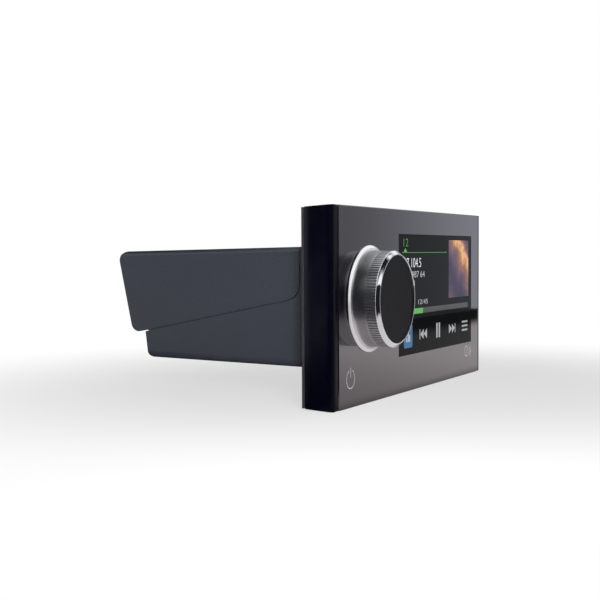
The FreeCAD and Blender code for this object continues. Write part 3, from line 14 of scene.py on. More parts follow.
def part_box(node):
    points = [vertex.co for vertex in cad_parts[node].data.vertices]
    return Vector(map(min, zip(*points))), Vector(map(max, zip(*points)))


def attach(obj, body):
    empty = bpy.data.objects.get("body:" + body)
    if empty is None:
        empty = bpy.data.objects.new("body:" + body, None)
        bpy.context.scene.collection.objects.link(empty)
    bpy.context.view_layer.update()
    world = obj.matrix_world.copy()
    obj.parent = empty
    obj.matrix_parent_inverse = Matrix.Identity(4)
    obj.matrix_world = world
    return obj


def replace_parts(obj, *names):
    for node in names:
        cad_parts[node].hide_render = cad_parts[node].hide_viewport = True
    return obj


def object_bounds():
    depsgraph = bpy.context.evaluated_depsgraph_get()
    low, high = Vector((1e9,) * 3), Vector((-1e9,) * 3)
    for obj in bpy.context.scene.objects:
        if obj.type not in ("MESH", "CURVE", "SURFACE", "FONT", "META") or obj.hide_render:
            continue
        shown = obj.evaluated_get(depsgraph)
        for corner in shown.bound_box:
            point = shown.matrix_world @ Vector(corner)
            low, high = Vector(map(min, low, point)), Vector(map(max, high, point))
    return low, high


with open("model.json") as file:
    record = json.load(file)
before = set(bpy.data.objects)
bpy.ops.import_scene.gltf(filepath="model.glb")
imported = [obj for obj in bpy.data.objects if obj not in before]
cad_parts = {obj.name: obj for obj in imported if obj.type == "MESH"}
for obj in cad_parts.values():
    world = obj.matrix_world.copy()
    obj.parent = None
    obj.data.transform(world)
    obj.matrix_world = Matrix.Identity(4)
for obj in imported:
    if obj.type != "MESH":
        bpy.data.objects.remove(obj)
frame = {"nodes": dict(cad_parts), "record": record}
cad_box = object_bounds()
nodes = frame["nodes"]
record = frame["record"]

MM = 0.001
glass_low, glass_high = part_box("cover_glass")
GLASS_FRONT = glass_low.y
knob_low, knob_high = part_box("knob_body")
DIAL_X = (knob_low.x + knob_high.x) / 2
DIAL_Z = (knob_low.z + knob_high.z) / 2
FLOOR_GAP = 0.2 * MM
FLOOR_Z = cad_box[0][2] - FLOOR_GAP


# Finishes

class Finish:
    """A material made from nodes, with the few helpers that the recipes below share."""

    def __init__(self, name):
        self.material = bpy.data.materials.new(name)
        self.material.use_nodes = True
        self.tree = self.material.node_tree
        self.tree.nodes.clear()
        self.output = self.add("ShaderNodeOutputMaterial")
        self.shader = self.add("ShaderNodeBsdfPrincipled")
        self.link(self.shader.outputs["BSDF"], self.output.inputs["Surface"])
        self.place = self.add("ShaderNodeTexCoord").outputs["Object"]

    def add(self, kind, **settings):
        node = self.tree.nodes.new(kind)
        for key, value in settings.items():
            setattr(node, key, value)
        return node

    def link(self, source, target):
        self.tree.links.new(source, target)

    def set(self, **values):
        for key, value in values.items():
            self.shader.inputs[key.replace("_", " ")].default_value = value

    def noise(self, size, detail=3.0, stretch=(1, 1, 1), distortion=0.0):
        """Noise whose features are about this many metres across."""
        mapping = self.add("ShaderNodeMapping")
        mapping.inputs["Scale"].default_value = stretch
        self.link(self.place, mapping.inputs["Vector"])
        noise = self.add("ShaderNodeTexNoise")
        noise.inputs["Scale"].default_value = 1 / size
        noise.inputs["Detail"].default_value = detail
        noise.inputs["Distortion"].default_value = distortion
        self.link(mapping.outputs["Vector"], noise.inputs["Vector"])
        return noise.outputs["Fac"]

    def spread(self, source, low, high, start=0.3, end=0.7):
        """Maps a value that runs from start to end onto low to high."""
        node = self.add("ShaderNodeMapRange")
        for key, value in (("From Min", start), ("From Max", end), ("To Min", low), ("To Max", high)):
            node.inputs[key].default_value = value
        self.link(source, node.inputs["Value"])
        return node.outputs["Result"]

    def maths(self, operation, first, second):
        node = self.add("ShaderNodeMath", operation=operation, use_clamp=operation == "ADD")
        for i, value in enumerate((first, second)):
            if isinstance(value, (int, float)):
                node.inputs[i].default_value = value
            else:
                self.link(value, node.inputs[i])
        return node.outputs["Value"]

    def blend(self, factor, first, second):
        """Mixes two colours, each given as numbers or as a socket."""
        node = self.add("ShaderNodeMix", data_type="RGBA")
        self.link(factor, node.inputs["Factor"])
        for name, value in (("A", first), ("B", second)):
            socket = [s for s in node.inputs if s.name == name and s.type == "RGBA"][0]
            if isinstance(value, tuple):
                socket.default_value = (*value, 1)
            else:
                self.link(value, socket)
        return [s for s in node.outputs if s.type == "RGBA"][0]

    def edge(self, radius):
        """1 on edges, 0 on flats: how far the rounded normal leaves the true one."""
        bevel = self.add("ShaderNodeBevel", samples=4)
        bevel.inputs["Radius"].default_value = radius
        geometry = self.add("ShaderNodeNewGeometry")
        dot = self.add("ShaderNodeVectorMath", operation="DOT_PRODUCT")
        self.link(bevel.outputs["Normal"], dot.inputs[0])
        self.link(geometry.outputs["Normal"], dot.inputs[1])
        return self.spread(dot.outputs["Value"], 1, 0, 0.80, 0.99)

    def bump(self, layers, rounding=0.0):
        """Layers are (height source, depth in metres). Rounding softens the edges of the part."""
        last = None
        if rounding:
            bevel = self.add("ShaderNodeBevel", samples=4)
            bevel.inputs["Radius"].default_value = rounding
            last = bevel.outputs["Normal"]
        for source, depth in layers:
            node = self.add("ShaderNodeBump")
            node.inputs["Strength"].default_value = 1.0
            node.inputs["Distance"].default_value = depth
            self.link(source, node.inputs["Height"])
            if last:
                self.link(last, node.inputs["Normal"])
            last = node.outputs["Normal"]
        if last:
            self.link(last, self.shader.inputs["Normal"])


def scaled(colour, factor):
    return tuple(min(1.0, c * factor) for c in colour)


def finish(name, colour, rough, metal=0.0, tone=0.12, tone_size=0.02, rough_spread=0.08, grain=(), rounding=0.0,
           wear=None, wear_rough=None, wear_radius=0.0004, stretch=(1, 1, 1), **fixed):
    """General recipe: mottled colour, uneven roughness, fine grain and bright or dull worn edges.

    grain is a list of (feature size, depth) in metres."""
    made = Finish(name)
    mottle = made.noise(tone_size, 4.0)
    colour_socket = made.blend(made.spread(mottle, 0, 1), scaled(colour, 1 - tone), scaled(colour, 1 + tone))
    smear = made.noise(tone_size * 0.4, 5.0, stretch)
    rough_socket = made.spread(smear, max(0.02, rough - rough_spread), rough + rough_spread)
    if wear:
        edges = made.edge(wear_radius)
        patches = made.spread(made.noise(0.004, 6.0), 0.0, 1.0, 0.42, 0.62)
        rubbed = made.maths("MULTIPLY", edges, patches)
        colour_socket = made.blend(rubbed, colour_socket, wear)
        if wear_rough is not None:
            keep = made.maths("MULTIPLY", made.maths("SUBTRACT", 1.0, rubbed), rough_socket)
            rough_socket = made.maths("ADD", keep, made.maths("MULTIPLY", rubbed, wear_rough))
    made.link(colour_socket, made.shader.inputs["Base Color"])
    made.link(rough_socket, made.shader.inputs["Roughness"])
    made.set(Metallic=metal, **fixed)
    made.bump([(made.noise(size, 2.0, stretch), depth) for size, depth in grain], rounding)
    return made.material


# finger smears on the glass: size in metres, detail, stretch and distortion
SMEAR = (0.018, 6.0, (1, 1, 1.6), 1.5)
SCREEN_IOR = 1.065


def glass_finish():
    """Black-backed polished glass with faint smears from fingers."""
    made = Finish("black_glass")
    smear = made.noise(*SMEAR)
    made.link(made.spread(smear, 0.025, 0.075, 0.35, 0.75), made.shader.inputs["Roughness"])
    tint = made.blend(made.spread(made.noise(0.05), 0, 1), (0.0020, 0.0020, 0.0030), (0.0032, 0.0029, 0.0038))
    made.link(tint, made.shader.inputs["Base Color"])
    made.set(IOR=1.95, Specular_Tint=(1.0, 0.955, 0.985, 1.0))
    made.bump([(made.noise(0.03, 1.0), 0.0000015)], 0.0001)
    return made.material


def lit_finish(name, colour, glow, patch=0.05, back=0.35):
    """Part of the lit picture, seen through the glass: it glows, with an uneven backlight and the glass's gloss."""
    made = Finish(name)
    uneven = made.spread(made.noise(0.012, 2.0), 1 - patch, 1.0)
    dim = made.blend(uneven, (0, 0, 0), colour)
    made.link(dim, made.shader.inputs["Emission Color"])
    made.link(made.blend(uneven, (0, 0, 0), scaled(colour, back)), made.shader.inputs["Base Color"])
    made.link(made.spread(made.noise(*SMEAR), 0.03, 0.08, 0.35, 0.75), made.shader.inputs["Roughness"])
    made.set(Emission_Strength=glow, IOR=SCREEN_IOR)
    return made.material


def cover_picture_finish():
    """Generic soft diagonal bands of violet, rose and amber for the square where a cover picture is shown."""
    made = Finish("screen_cover_picture")
    mapping = made.add("ShaderNodeMapping")
    mapping.inputs["Rotation"].default_value = (0, math.radians(52), 0)
    made.link(made.place, mapping.inputs["Vector"])
    wave = made.add("ShaderNodeTexWave", wave_type="BANDS", bands_direction="X", wave_profile="SIN")
    for key, value in (("Scale", 9.0), ("Distortion", 1.6), ("Detail", 2.0), ("Detail Scale", 7.0)):
        wave.inputs[key].default_value = value
    made.link(mapping.outputs["Vector"], wave.inputs["Vector"])
    ramp = made.add("ShaderNodeValToRGB")
    stops = ((0.0, (0.048, 0.044, 0.070)), (0.45, (0.085, 0.062, 0.095)), (0.78, (0.150, 0.088, 0.100)),
             (0.91, (0.26, 0.125, 0.085)), (0.98, (0.50, 0.26, 0.12)), (1.0, (0.56, 0.33, 0.17)))
    while len(ramp.color_ramp.elements) < len(stops):
        ramp.color_ramp.elements.new(0.5)
    for element, (position, colour) in zip(ramp.color_ramp.elements, stops):
        element.position = position
        element.color = (*colour, 1)
    grain = made.maths("ADD", wave.outputs["Fac"], made.spread(made.noise(0.0022, 3.0), -0.05, 0.05))
    made.link(grain, ramp.inputs["Fac"])
    made.link(ramp.outputs["Color"], made.shader.inputs["Emission Color"])
    made.link(ramp.outputs["Color"], made.shader.inputs["Base Color"])
    made.link(made.spread(made.noise(0.018, 6.0), 0.03, 0.08), made.shader.inputs["Roughness"])
    made.set(Emission_Strength=0.75, IOR=SCREEN_IOR)
    return made.material


def board_finish():
    """Green solder mask over faint copper tracks."""
    made = Finish("circuit_board")
    tracks = made.add("ShaderNodeTexBrick")
    for key, value in (("Scale", 300.0), ("Mortar Size", 0.06), ("Brick Width", 1.7), ("Row Height", 0.32)):
        tracks.inputs[key].default_value = value
    made.link(made.place, tracks.inputs["Vector"])
    mask = made.blend(made.spread(made.noise(0.02), 0, 1), (0.010, 0.075, 0.030), (0.016, 0.105, 0.042))
    made.link(made.blend(tracks.outputs["Fac"], mask, (0.045, 0.17, 0.075)), made.shader.inputs["Base Color"])
    made.link(made.spread(made.noise(0.006), 0.30, 0.45), made.shader.inputs["Roughness"])
    made.bump([(tracks.outputs["Fac"], 0.00003)], 0.00015)
    return made.material


def knob_side_finish():
    """Satin turned metal, whose fine rings round the Y axis spread its highlights along that axis."""
    material = finish("knob_metal", (0.84, 0.85, 0.87), 0.42, 1.0, 0.03, 0.008, 0.03, [(0.0009, 0.0000004)],
                      stretch=(0.03, 9.0, 0.03), Anisotropic=0.55, Anisotropic_Rotation=0.25)
    tree = material.node_tree
    tangent = tree.nodes.new("ShaderNodeTangent")
    tangent.direction_type = "RADIAL"
    tangent.axis = "Y"
    shader = [node for node in tree.nodes if node.type == "BSDF_PRINCIPLED"][0]
    tree.links.new(tangent.outputs[0], shader.inputs["Tangent"])
    return material


def make_finishes():
    dark_edge = (0.10, 0.105, 0.115)
    silver = (0.62, 0.63, 0.64)
    return {
        "black_glass": glass_finish(),
        "bond_foam": finish("bond_foam", (0.030, 0.030, 0.031), 0.85, grain=[(0.0004, 0.00005)]),
        "frame_plastic": finish("frame_plastic", (0.030, 0.031, 0.034), 0.48, grain=[(0.0003, 0.00001)],
                                rounding=0.0002, wear=dark_edge, wear_rough=0.35),
        "gasket_foam": finish("gasket_foam", (0.024, 0.024, 0.026), 0.92, grain=[(0.0005, 0.00009), (0.0002, 0.00004)],
                              rounding=0.0002),
        "cover_gloss": finish("cover_gloss", (0.0005, 0.0006, 0.0030), 0.20, tone=0.2, tone_size=0.03,
                              grain=[(0.00035, 0.0000015)], rounding=0.0003, wear=(0.0020, 0.0022, 0.0050),
                              wear_rough=0.24, wear_radius=0.0003, IOR=1.42),
        "cover_front_edge": finish("cover_front_edge", (0.0008, 0.0009, 0.0030), 0.30, tone=0.2, tone_size=0.03,
                                   grain=[(0.00035, 0.0000015)], rounding=0.0003, IOR=1.2),
        "sensor_film": finish("sensor_film", (0.10, 0.11, 0.12), 0.10),
        "panel_glass": finish("panel_glass", (0.020, 0.021, 0.024), 0.16),
        "steel_sheet": finish("steel_sheet", (0.52, 0.53, 0.54), 0.40, 1.0, 0.05, 0.006, 0.05,
                              [(0.0010, 0.0000015)], 0.0002, stretch=(1, 6, 1), wear=(0.75, 0.76, 0.77),
                              wear_rough=0.26),
        "guide_acrylic": finish("guide_acrylic", (0.80, 0.83, 0.85), 0.20, tone=0.03),
        "circuit_board": board_finish(),
        "polished_metal": finish("polished_metal", (0.93, 0.94, 0.95), 0.20, 1.0, 0.02, 0.01, 0.03,
                                 [(0.0008, 0.0000004)]),
        "knob_metal": knob_side_finish(),
        "knob_bevel": finish("knob_bevel", (0.92, 0.93, 0.94), 0.06, 1.0, 0.02, 0.01, 0.02,
                             [(0.0006, 0.0000004)]),
        # darker metal in the knurl's grooves: painted shade where the grooves hold shadow
        "knurl_groove_painted_shade": finish("knurl_groove_painted_shade", (0.13, 0.13, 0.135), 0.42, 0.8, 0.05, 0.004, 0.04),
        "cap_black": finish("cap_black", (0.0078, 0.0078, 0.0086), 0.50, tone=0.03, tone_size=0.01,
                            rough_spread=0.01, IOR=1.12),
        "shaft_steel": finish("shaft_steel", (0.60, 0.61, 0.62), 0.24, 1.0, 0.10, 0.008, 0.06,
                              [(0.0009, 0.000004)], stretch=(1, 8, 1)),
        "bush_brass": finish("bush_brass", (0.62, 0.56, 0.38), 0.28, 1.0, 0.08, 0.003, 0.08, rounding=0.00015,
                             wear=(0.78, 0.62, 0.30)),
        "encoder_plastic": finish("encoder_plastic", (0.040, 0.046, 0.055), 0.45, grain=[(0.0003, 0.000008)],
                                  rounding=0.00015),
        "rotor_plastic": finish("rotor_plastic", (0.66, 0.66, 0.61), 0.45, tone=0.05, rounding=0.00015),
        "screw_steel": finish("screw_steel", (0.56, 0.57, 0.58), 0.30, 1.0, 0.12, 0.002, 0.10,
                              [(0.0004, 0.000004)], 0.0001, wear=(0.80, 0.81, 0.82), wear_rough=0.18,
                              wear_radius=0.0002),
        # darker metal for the screw recess: painted shade in the recess
        "screw_recess_painted_shade": finish("screw_recess_painted_shade", (0.16, 0.16, 0.165), 0.5, 1.0),
        "ribbon_white": finish("ribbon_white", (0.72, 0.73, 0.74), 0.40, tone=0.05,
                               grain=[(0.0008, 0.00001)], stretch=(12, 0.2, 0.2)),
        "chassis_cast": finish("chassis_cast", (0.0290, 0.0322, 0.0410), 0.30, 0.0, 0.08, 0.0012, 0.02,
                               [(0.00060, 0.000014), (0.00026, 0.000006)], 0.0003, wear=(0.08, 0.085, 0.095),
                               wear_rough=0.34, wear_radius=0.00025, IOR=1.6),
        "cover_sheet": finish("cover_sheet", (0.0300, 0.0332, 0.0422), 0.29, 0.0, 0.07, 0.0010, 0.02,
                              [(0.00055, 0.000012), (0.00024, 0.000005)], 0.0003, wear=(0.08, 0.085, 0.095),
                              wear_rough=0.34, wear_radius=0.00025, IOR=1.6),
        "heatsink_black": finish("heatsink_black", (0.028, 0.028, 0.030), 0.34, 0.6, 0.10, 0.01, 0.08,
                                 [(0.0009, 0.000008)], 0.0002, stretch=(1, 1, 9), wear=silver,
                                 wear_rough=0.28, wear_radius=0.00025),
        "chip_black": finish("chip_black", (0.020, 0.020, 0.021), 0.55, grain=[(0.0003, 0.000012)],
                             rounding=0.0002),
        "capacitor_sleeve": finish("capacitor_sleeve", (0.020, 0.028, 0.060), 0.22, rounding=0.0004),
        "tin_can": finish("tin_can", (0.66, 0.67, 0.66), 0.30, 1.0, 0.08, 0.004, 0.08, [(0.0010, 0.000006)],
                          0.0002, wear=(0.80, 0.80, 0.79)),
        "socket_plastic": finish("socket_plastic", (0.022, 0.022, 0.024), 0.42, grain=[(0.00035, 0.000010)],
                                 rounding=0.0002, wear=(0.07, 0.07, 0.073)),
        "pin_tin": finish("pin_tin", (0.74, 0.70, 0.58), 0.24, 1.0, 0.08, 0.002, 0.06),
        "fuse_plastic": finish("fuse_plastic", (0.30, 0.045, 0.020), 0.18, rounding=0.0003),
    }


finishes = make_finishes()
slot_of = {row["node"]: row["material_slot"] for row in record["subparts"]}
for name, node in nodes.items():
    material = finishes[slot_of[name]]
    if node.material_slots:
        for place in node.material_slots:
            place.material = material
    else:
        node.data.materials.append(material)


# Turned pieces

def piece_from(mesh, name, materials, body, sharp=math.radians(35)):
    """Turns a bmesh into an object of the model that rides on a body."""
    bmesh.ops.recalc_face_normals(mesh, faces=mesh.faces)
    for edge in mesh.edges:
        if len(edge.link_faces) == 2 and edge.calc_face_angle(0) > sharp:
            edge.smooth = False
    for face in mesh.faces:
        face.smooth = True
    data = bpy.data.meshes.new(name)
    mesh.to_mesh(data)
    mesh.free()
    for material in materials:
        data.materials.append(material)
    piece = bpy.data.objects.new(name, data)
    bpy.context.scene.collection.objects.link(piece)
    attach(piece, body)
    return piece


def lathe(mesh, rings, segments, place, closed=False):
    """Adds rings of points to a bmesh and skins them. A ring is (radius function of the angle, height, finish).

    place(radius, angle, height) gives the point. The finish is that of the band after the ring: a number, or a
    function that gives the number from the place round the ring."""
    loops = []
    for radius, height, _ in rings:
        loops.append([mesh.verts.new(place(radius(2 * math.pi * i / segments), 2 * math.pi * i / segments, height))
                      for i in range(segments)])
    pairs = list(zip(loops, loops[1:], rings))
    if closed:
        pairs.append((loops[-1], loops[0], rings[-1]))
    for low, high, ring in pairs:
        for i in range(segments):
            j = (i + 1) % segments
            face = mesh.faces.new((low[i], low[j], high[j], high[i]))
            face.material_index = ring[2](i) if callable(ring[2]) else ring[2]
    return loops


def fan(mesh, loop, centre, finish_number):
    """Closes a loop with triangles to one point."""
    middle = mesh.verts.new(centre)
    for i in range(len(loop)):
        mesh.faces.new((loop[i], loop[(i + 1) % len(loop)], middle)).material_index = finish_number


def plain(radius):
    return lambda angle: radius


def dial_point(radius, angle, height):
    """Millimetres from the dial's axis and above the glass, to metres in the model."""
    return Vector((DIAL_X + radius * MM * math.cos(angle), GLASS_FRONT - height * MM,
                   DIAL_Z + radius * MM * math.sin(angle)))


# millimetres, except the counts and the share of a knurl's pitch that is groove on each side of its middle
KNURLS = 100
KNURL_STEPS = 10
KNURL_DEPTH = 0.30
GROOVE_SHARE = 0.17
KNOB_RADIUS = 20.0
FLARE_WIDTH = 0.93
FLARE_FOOT = 1.26
FLARE_REACH = 0.9
SMOOTH_SEGMENTS = 240


def knurled(share):
    """Radius of the knurled band: flat crests with V grooves between, share of the full depth."""
    def radius(angle):
        phase = (angle * KNURLS / (2 * math.pi)) % 1.0
        groove = max(0.0, 1 - abs(phase - 0.5) / GROOVE_SHARE)
        return KNOB_RADIUS - KNURL_DEPTH * share * groove
    return radius


def flare(height):
    """Radius of the knob's side, which runs out like a trumpet towards the ring on the glass."""
    return KNOB_RADIUS + FLARE_WIDTH / (1 + (height - FLARE_FOOT) / FLARE_REACH) ** 2


def arc(start, end, bulge, steps):
    """Points between two (radius, height) points along a shallow curve. bulge is towards the axis."""
    points = []
    for i in range(1, steps):
        t = i / steps
        side = 4 * t * (1 - t) * bulge
        points.append((start[0] + (end[0] - start[0]) * t - side, start[1] + (end[1] - start[1]) * t))
    return points


def make_knob():
    mesh = bmesh.new()
    # the groove faces take a darker finish: painted shade in the knurl's grooves
    side, bright, groove = 0, 1, 2

    def knurl(i):
        phase = (i + 0.5) / KNURL_STEPS % 1.0
        return groove if abs(phase - 0.5) < GROOVE_SHARE else side

    rings = [(plain(3.2), 1.0, side), (plain(20.8), 0.98, side), (plain(20.93), 1.06, side)]
    rings += [(plain(flare(h)), h, side) for h in
              (1.26, 1.32, 1.40, 1.50, 1.62, 1.76, 1.92, 2.12, 2.36, 2.66, 3.02, 3.50, 4.10, 4.90, 5.90, 6.80)]
    rings += [(plain(KNOB_RADIUS), 6.95, side), (knurled(0.1), 7.0, knurl), (knurled(1.0), 7.25, knurl),
              (knurled(1.0), 9.2, knurl), (knurled(1.0), 11.05, knurl), (knurled(0.2), 11.33, bright)]
    rings += [(plain(19.93), 11.40, bright), (plain(19.76), 11.50, bright)]
    for radius, height in arc((19.76, 11.50), (18.72, 12.72), -0.06, 5):
        rings.append((plain(radius), height, bright))
    rings += [(plain(18.72), 12.74, bright), (plain(18.62), 12.87, bright), (plain(18.42), 12.90, bright),
              (plain(18.27), 12.86, bright), (plain(18.2), 12.72, side), (plain(18.2), 11.3, side)]
    loops = lathe(mesh, rings, KNURLS * KNURL_STEPS, dial_point)
    fan(mesh, loops[-1], dial_point(0, 0, 11.3), side)
    piece = piece_from(mesh, "dial_knob", [finishes["knob_metal"], finishes["knob_bevel"], finishes["knurl_groove_painted_shade"]],
                       "dial", math.radians(24))
    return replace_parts(piece, "knob_body")


def make_cap():
    mesh = bmesh.new()
    rings = [(plain(18.1), 11.25, 0), (plain(18.13), 12.2, 0), (plain(18.05), 12.36, 0), (plain(17.9), 12.40, 0)]
    rings += [(plain(18 - 1.5 * i), 12.40 - 0.006 * i, 0) for i in range(1, 12)]
    loops = lathe(mesh, rings, SMOOTH_SEGMENTS, dial_point)
    fan(mesh, loops[-1], dial_point(0, 0, 12.33), 0)
    fan(mesh, list(reversed(loops[0])), dial_point(0, 0, 11.25), 0)
    piece = piece_from(mesh, "dial_cap", [finishes["cap_black"]], "dial")
    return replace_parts(piece, "knob_cap")


def make_trim_ring():
    """Fixed ring whose face slopes up to the knob, so that the two read as one flared foot."""
    mesh = bmesh.new()
    profile = [(22.3, 0.0), (22.4, 0.08), (22.4, 0.28), (22.36, 0.42), (22.26, 0.54), (22.1, 0.65), (21.8, 0.82),
               (21.5, 1.0), (21.25, 1.15), (21.1, 1.25), (21.04, 1.27), (21.0, 1.22), (21.0, 0.0)]
    lathe(mesh, [(plain(r), h, 0) for r, h in profile], SMOOTH_SEGMENTS, dial_point, closed=True)
    piece = piece_from(mesh, "dial_trim_ring", [finishes["polished_metal"]], "unit")
    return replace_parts(piece, "knob_trim_ring")


# Side covers, crowned along their outer face

# depths (y) in millimetres at which the cover is cut into bands, so that it can bend
COVER_RINGS = [-13.6, -12.8, -12.0, -11.0, -10.0, -8.5, -7.0, -6.0, -5.2, -4.6, -4.1, -3.6, -3.2, -2.8, -2.5, -2.2,
               -1.9, -1.6]
# where the face starts to fall back towards each edge, and how far it has fallen there
CROWN_REAR = (-5.2, 0.36)
CROWN_FRONT = (-9.0, 0.22)
# the duller front edge begins here
ROLL_START = -12.1
# what lies further out than the shoulder bends, over this width of blending
COVER_SHOULDER = 2.0
COVER_BLEND = 0.9
WELD = 0.000001


def crown(y):
    """How far the outer face falls back from flat at a depth, in millimetres: most towards the back edge."""
    rear_start, rear_drop = CROWN_REAR
    front_start, front_drop = CROWN_FRONT
    back_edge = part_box("side_cover_left")[1].y / MM
    rear = max(0.0, (y - rear_start) / (back_edge - rear_start))
    front = max(0.0, (front_start - y) / (front_start - glass_low.y / MM))
    return rear_drop * rear ** 2.2 + front_drop * front ** 2


def make_side_cover(node, body, side):
    """The solid's own outline with its outer face drawn in along a smooth curve."""
    mesh = bmesh.new()
    mesh.from_mesh(nodes[node].data)
    bmesh.ops.remove_doubles(mesh, verts=mesh.verts, dist=WELD)
    for y in COVER_RINGS:
        bmesh.ops.bisect_plane(mesh, geom=mesh.verts[:] + mesh.edges[:] + mesh.faces[:], dist=WELD,
                               plane_co=(0, y * MM, 0), plane_no=(0, 1, 0))
    outer = glass_high.x + COVER_SHOULDER * MM
    for vertex in mesh.verts:
        reach = side * vertex.co.x
        if reach > outer:
            share = min(1.0, (reach - outer) / (COVER_BLEND * MM))
            vertex.co.x -= side * crown(vertex.co.y / MM) * MM * share
    for face in mesh.faces:
        face.material_index = int(face.calc_center_median().y < ROLL_START * MM)
    piece = piece_from(mesh, node + "_crowned", [finishes["cover_gloss"], finishes["cover_front_edge"]], body,
                       math.radians(28))
    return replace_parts(piece, node)


# Screw heads with a six-lobed recess, in the place of the plain ones

# head radius, head height, shank radius and length in millimetres
REAR_SCREW = (2.25, 1.4, 1.2, 4.5)
TOP_SCREW = (2.15, 0.95, 1.2, 2.6)


def islands(node):
    """Lowest and highest corner of each separate solid of a node."""
    data = nodes[node].data
    group = list(range(len(data.vertices)))

    def root(i):
        while group[i] != i:
            group[i] = group[group[i]]
            i = group[i]
        return i

    same = {}
    for vertex in data.vertices:
        key = tuple(round(c, 6) for c in vertex.co)
        group[root(vertex.index)] = root(same.setdefault(key, vertex.index))
    for edge in data.edges:
        group[root(edge.vertices[0])] = root(edge.vertices[1])
    found = {}
    for vertex in data.vertices:
        found.setdefault(root(vertex.index), []).append(vertex.co)
    return [(Vector([min(p[i] for p in points) for i in range(3)]),
             Vector([max(p[i] for p in points) for i in range(3)])) for points in found.values()]


def lobed(radius):
    return lambda angle: radius * (1 + 0.13 * math.cos(6 * angle))


def add_screw(mesh, place, head, height, shank, length, sunk):
    """One screw. Heights are above the face that it is driven into, place as for lathe."""
    if sunk:
        rings = [(plain(shank), -length, 0), (plain(shank), -height, 0), (plain(head), -0.05, 0),
                 (plain(head - 0.05), 0.0, 0)]
        top = 0.0
    else:
        rings = [(plain(shank), -length, 0), (plain(shank), -0.02, 0), (plain(head), 0.0, 0),
                 (plain(head), height * 0.45, 0), (plain(head * 0.93), height * 0.78, 0),
                 (plain(head * 0.78), height * 0.94, 0), (plain(head * 0.62), height, 0)]
        top = height
    recess = head * 0.44
    # the recess takes the second finish, darker: painted shade in the recess
    rings += [(lobed(recess * 1.05), top, 0), (lobed(recess), top - 0.05, 1), (lobed(recess * 0.94), top - 0.65, 1)]
    loops = lathe(mesh, rings, 36, place)
    fan(mesh, loops[-1], place(0, 0, top - 0.8), 1)
    fan(mesh, list(reversed(loops[0])), place(0, 0, -length - 0.4), 0)


def make_rear_panel_screws():
    mesh = bmesh.new()
    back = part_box("rear_panel")[1].y
    for low, high in islands("rear_panel_screws"):
        x, z = (low.x + high.x) / 2, (low.z + high.z) / 2

        def place(radius, angle, height, x=x, z=z):
            return Vector((x + radius * MM * math.cos(angle), back + height * MM, z + radius * MM * math.sin(angle)))
        add_screw(mesh, place, *REAR_SCREW, sunk=False)
    piece = piece_from(mesh, "rear_screws_lobed", [finishes["screw_steel"], finishes["screw_recess_painted_shade"]],
                       "unit")
    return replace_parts(piece, "rear_panel_screws")


def make_cover_screws():
    mesh = bmesh.new()
    for low, high in islands("cover_screws"):
        x, y = (low.x + high.x) / 2, (low.y + high.y) / 2

        def place(radius, angle, height, x=x, y=y, top=high.z):
            return Vector((x + radius * MM * math.cos(angle), y + radius * MM * math.sin(angle), top + height * MM))
        add_screw(mesh, place, *TOP_SCREW, sunk=True)
    piece = piece_from(mesh, "top_screws_lobed", [finishes["screw_steel"], finishes["screw_recess_painted_shade"]],
                       "unit")
    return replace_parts(piece, "cover_screws")


# The lit picture and the marks on the glass

ROWS_LEFT = 67.0            # left edge of the rows of numbers, from the glass's left edge
FIGURE_THINNING = -0.010    # outline offset that makes the figures' strokes thinner


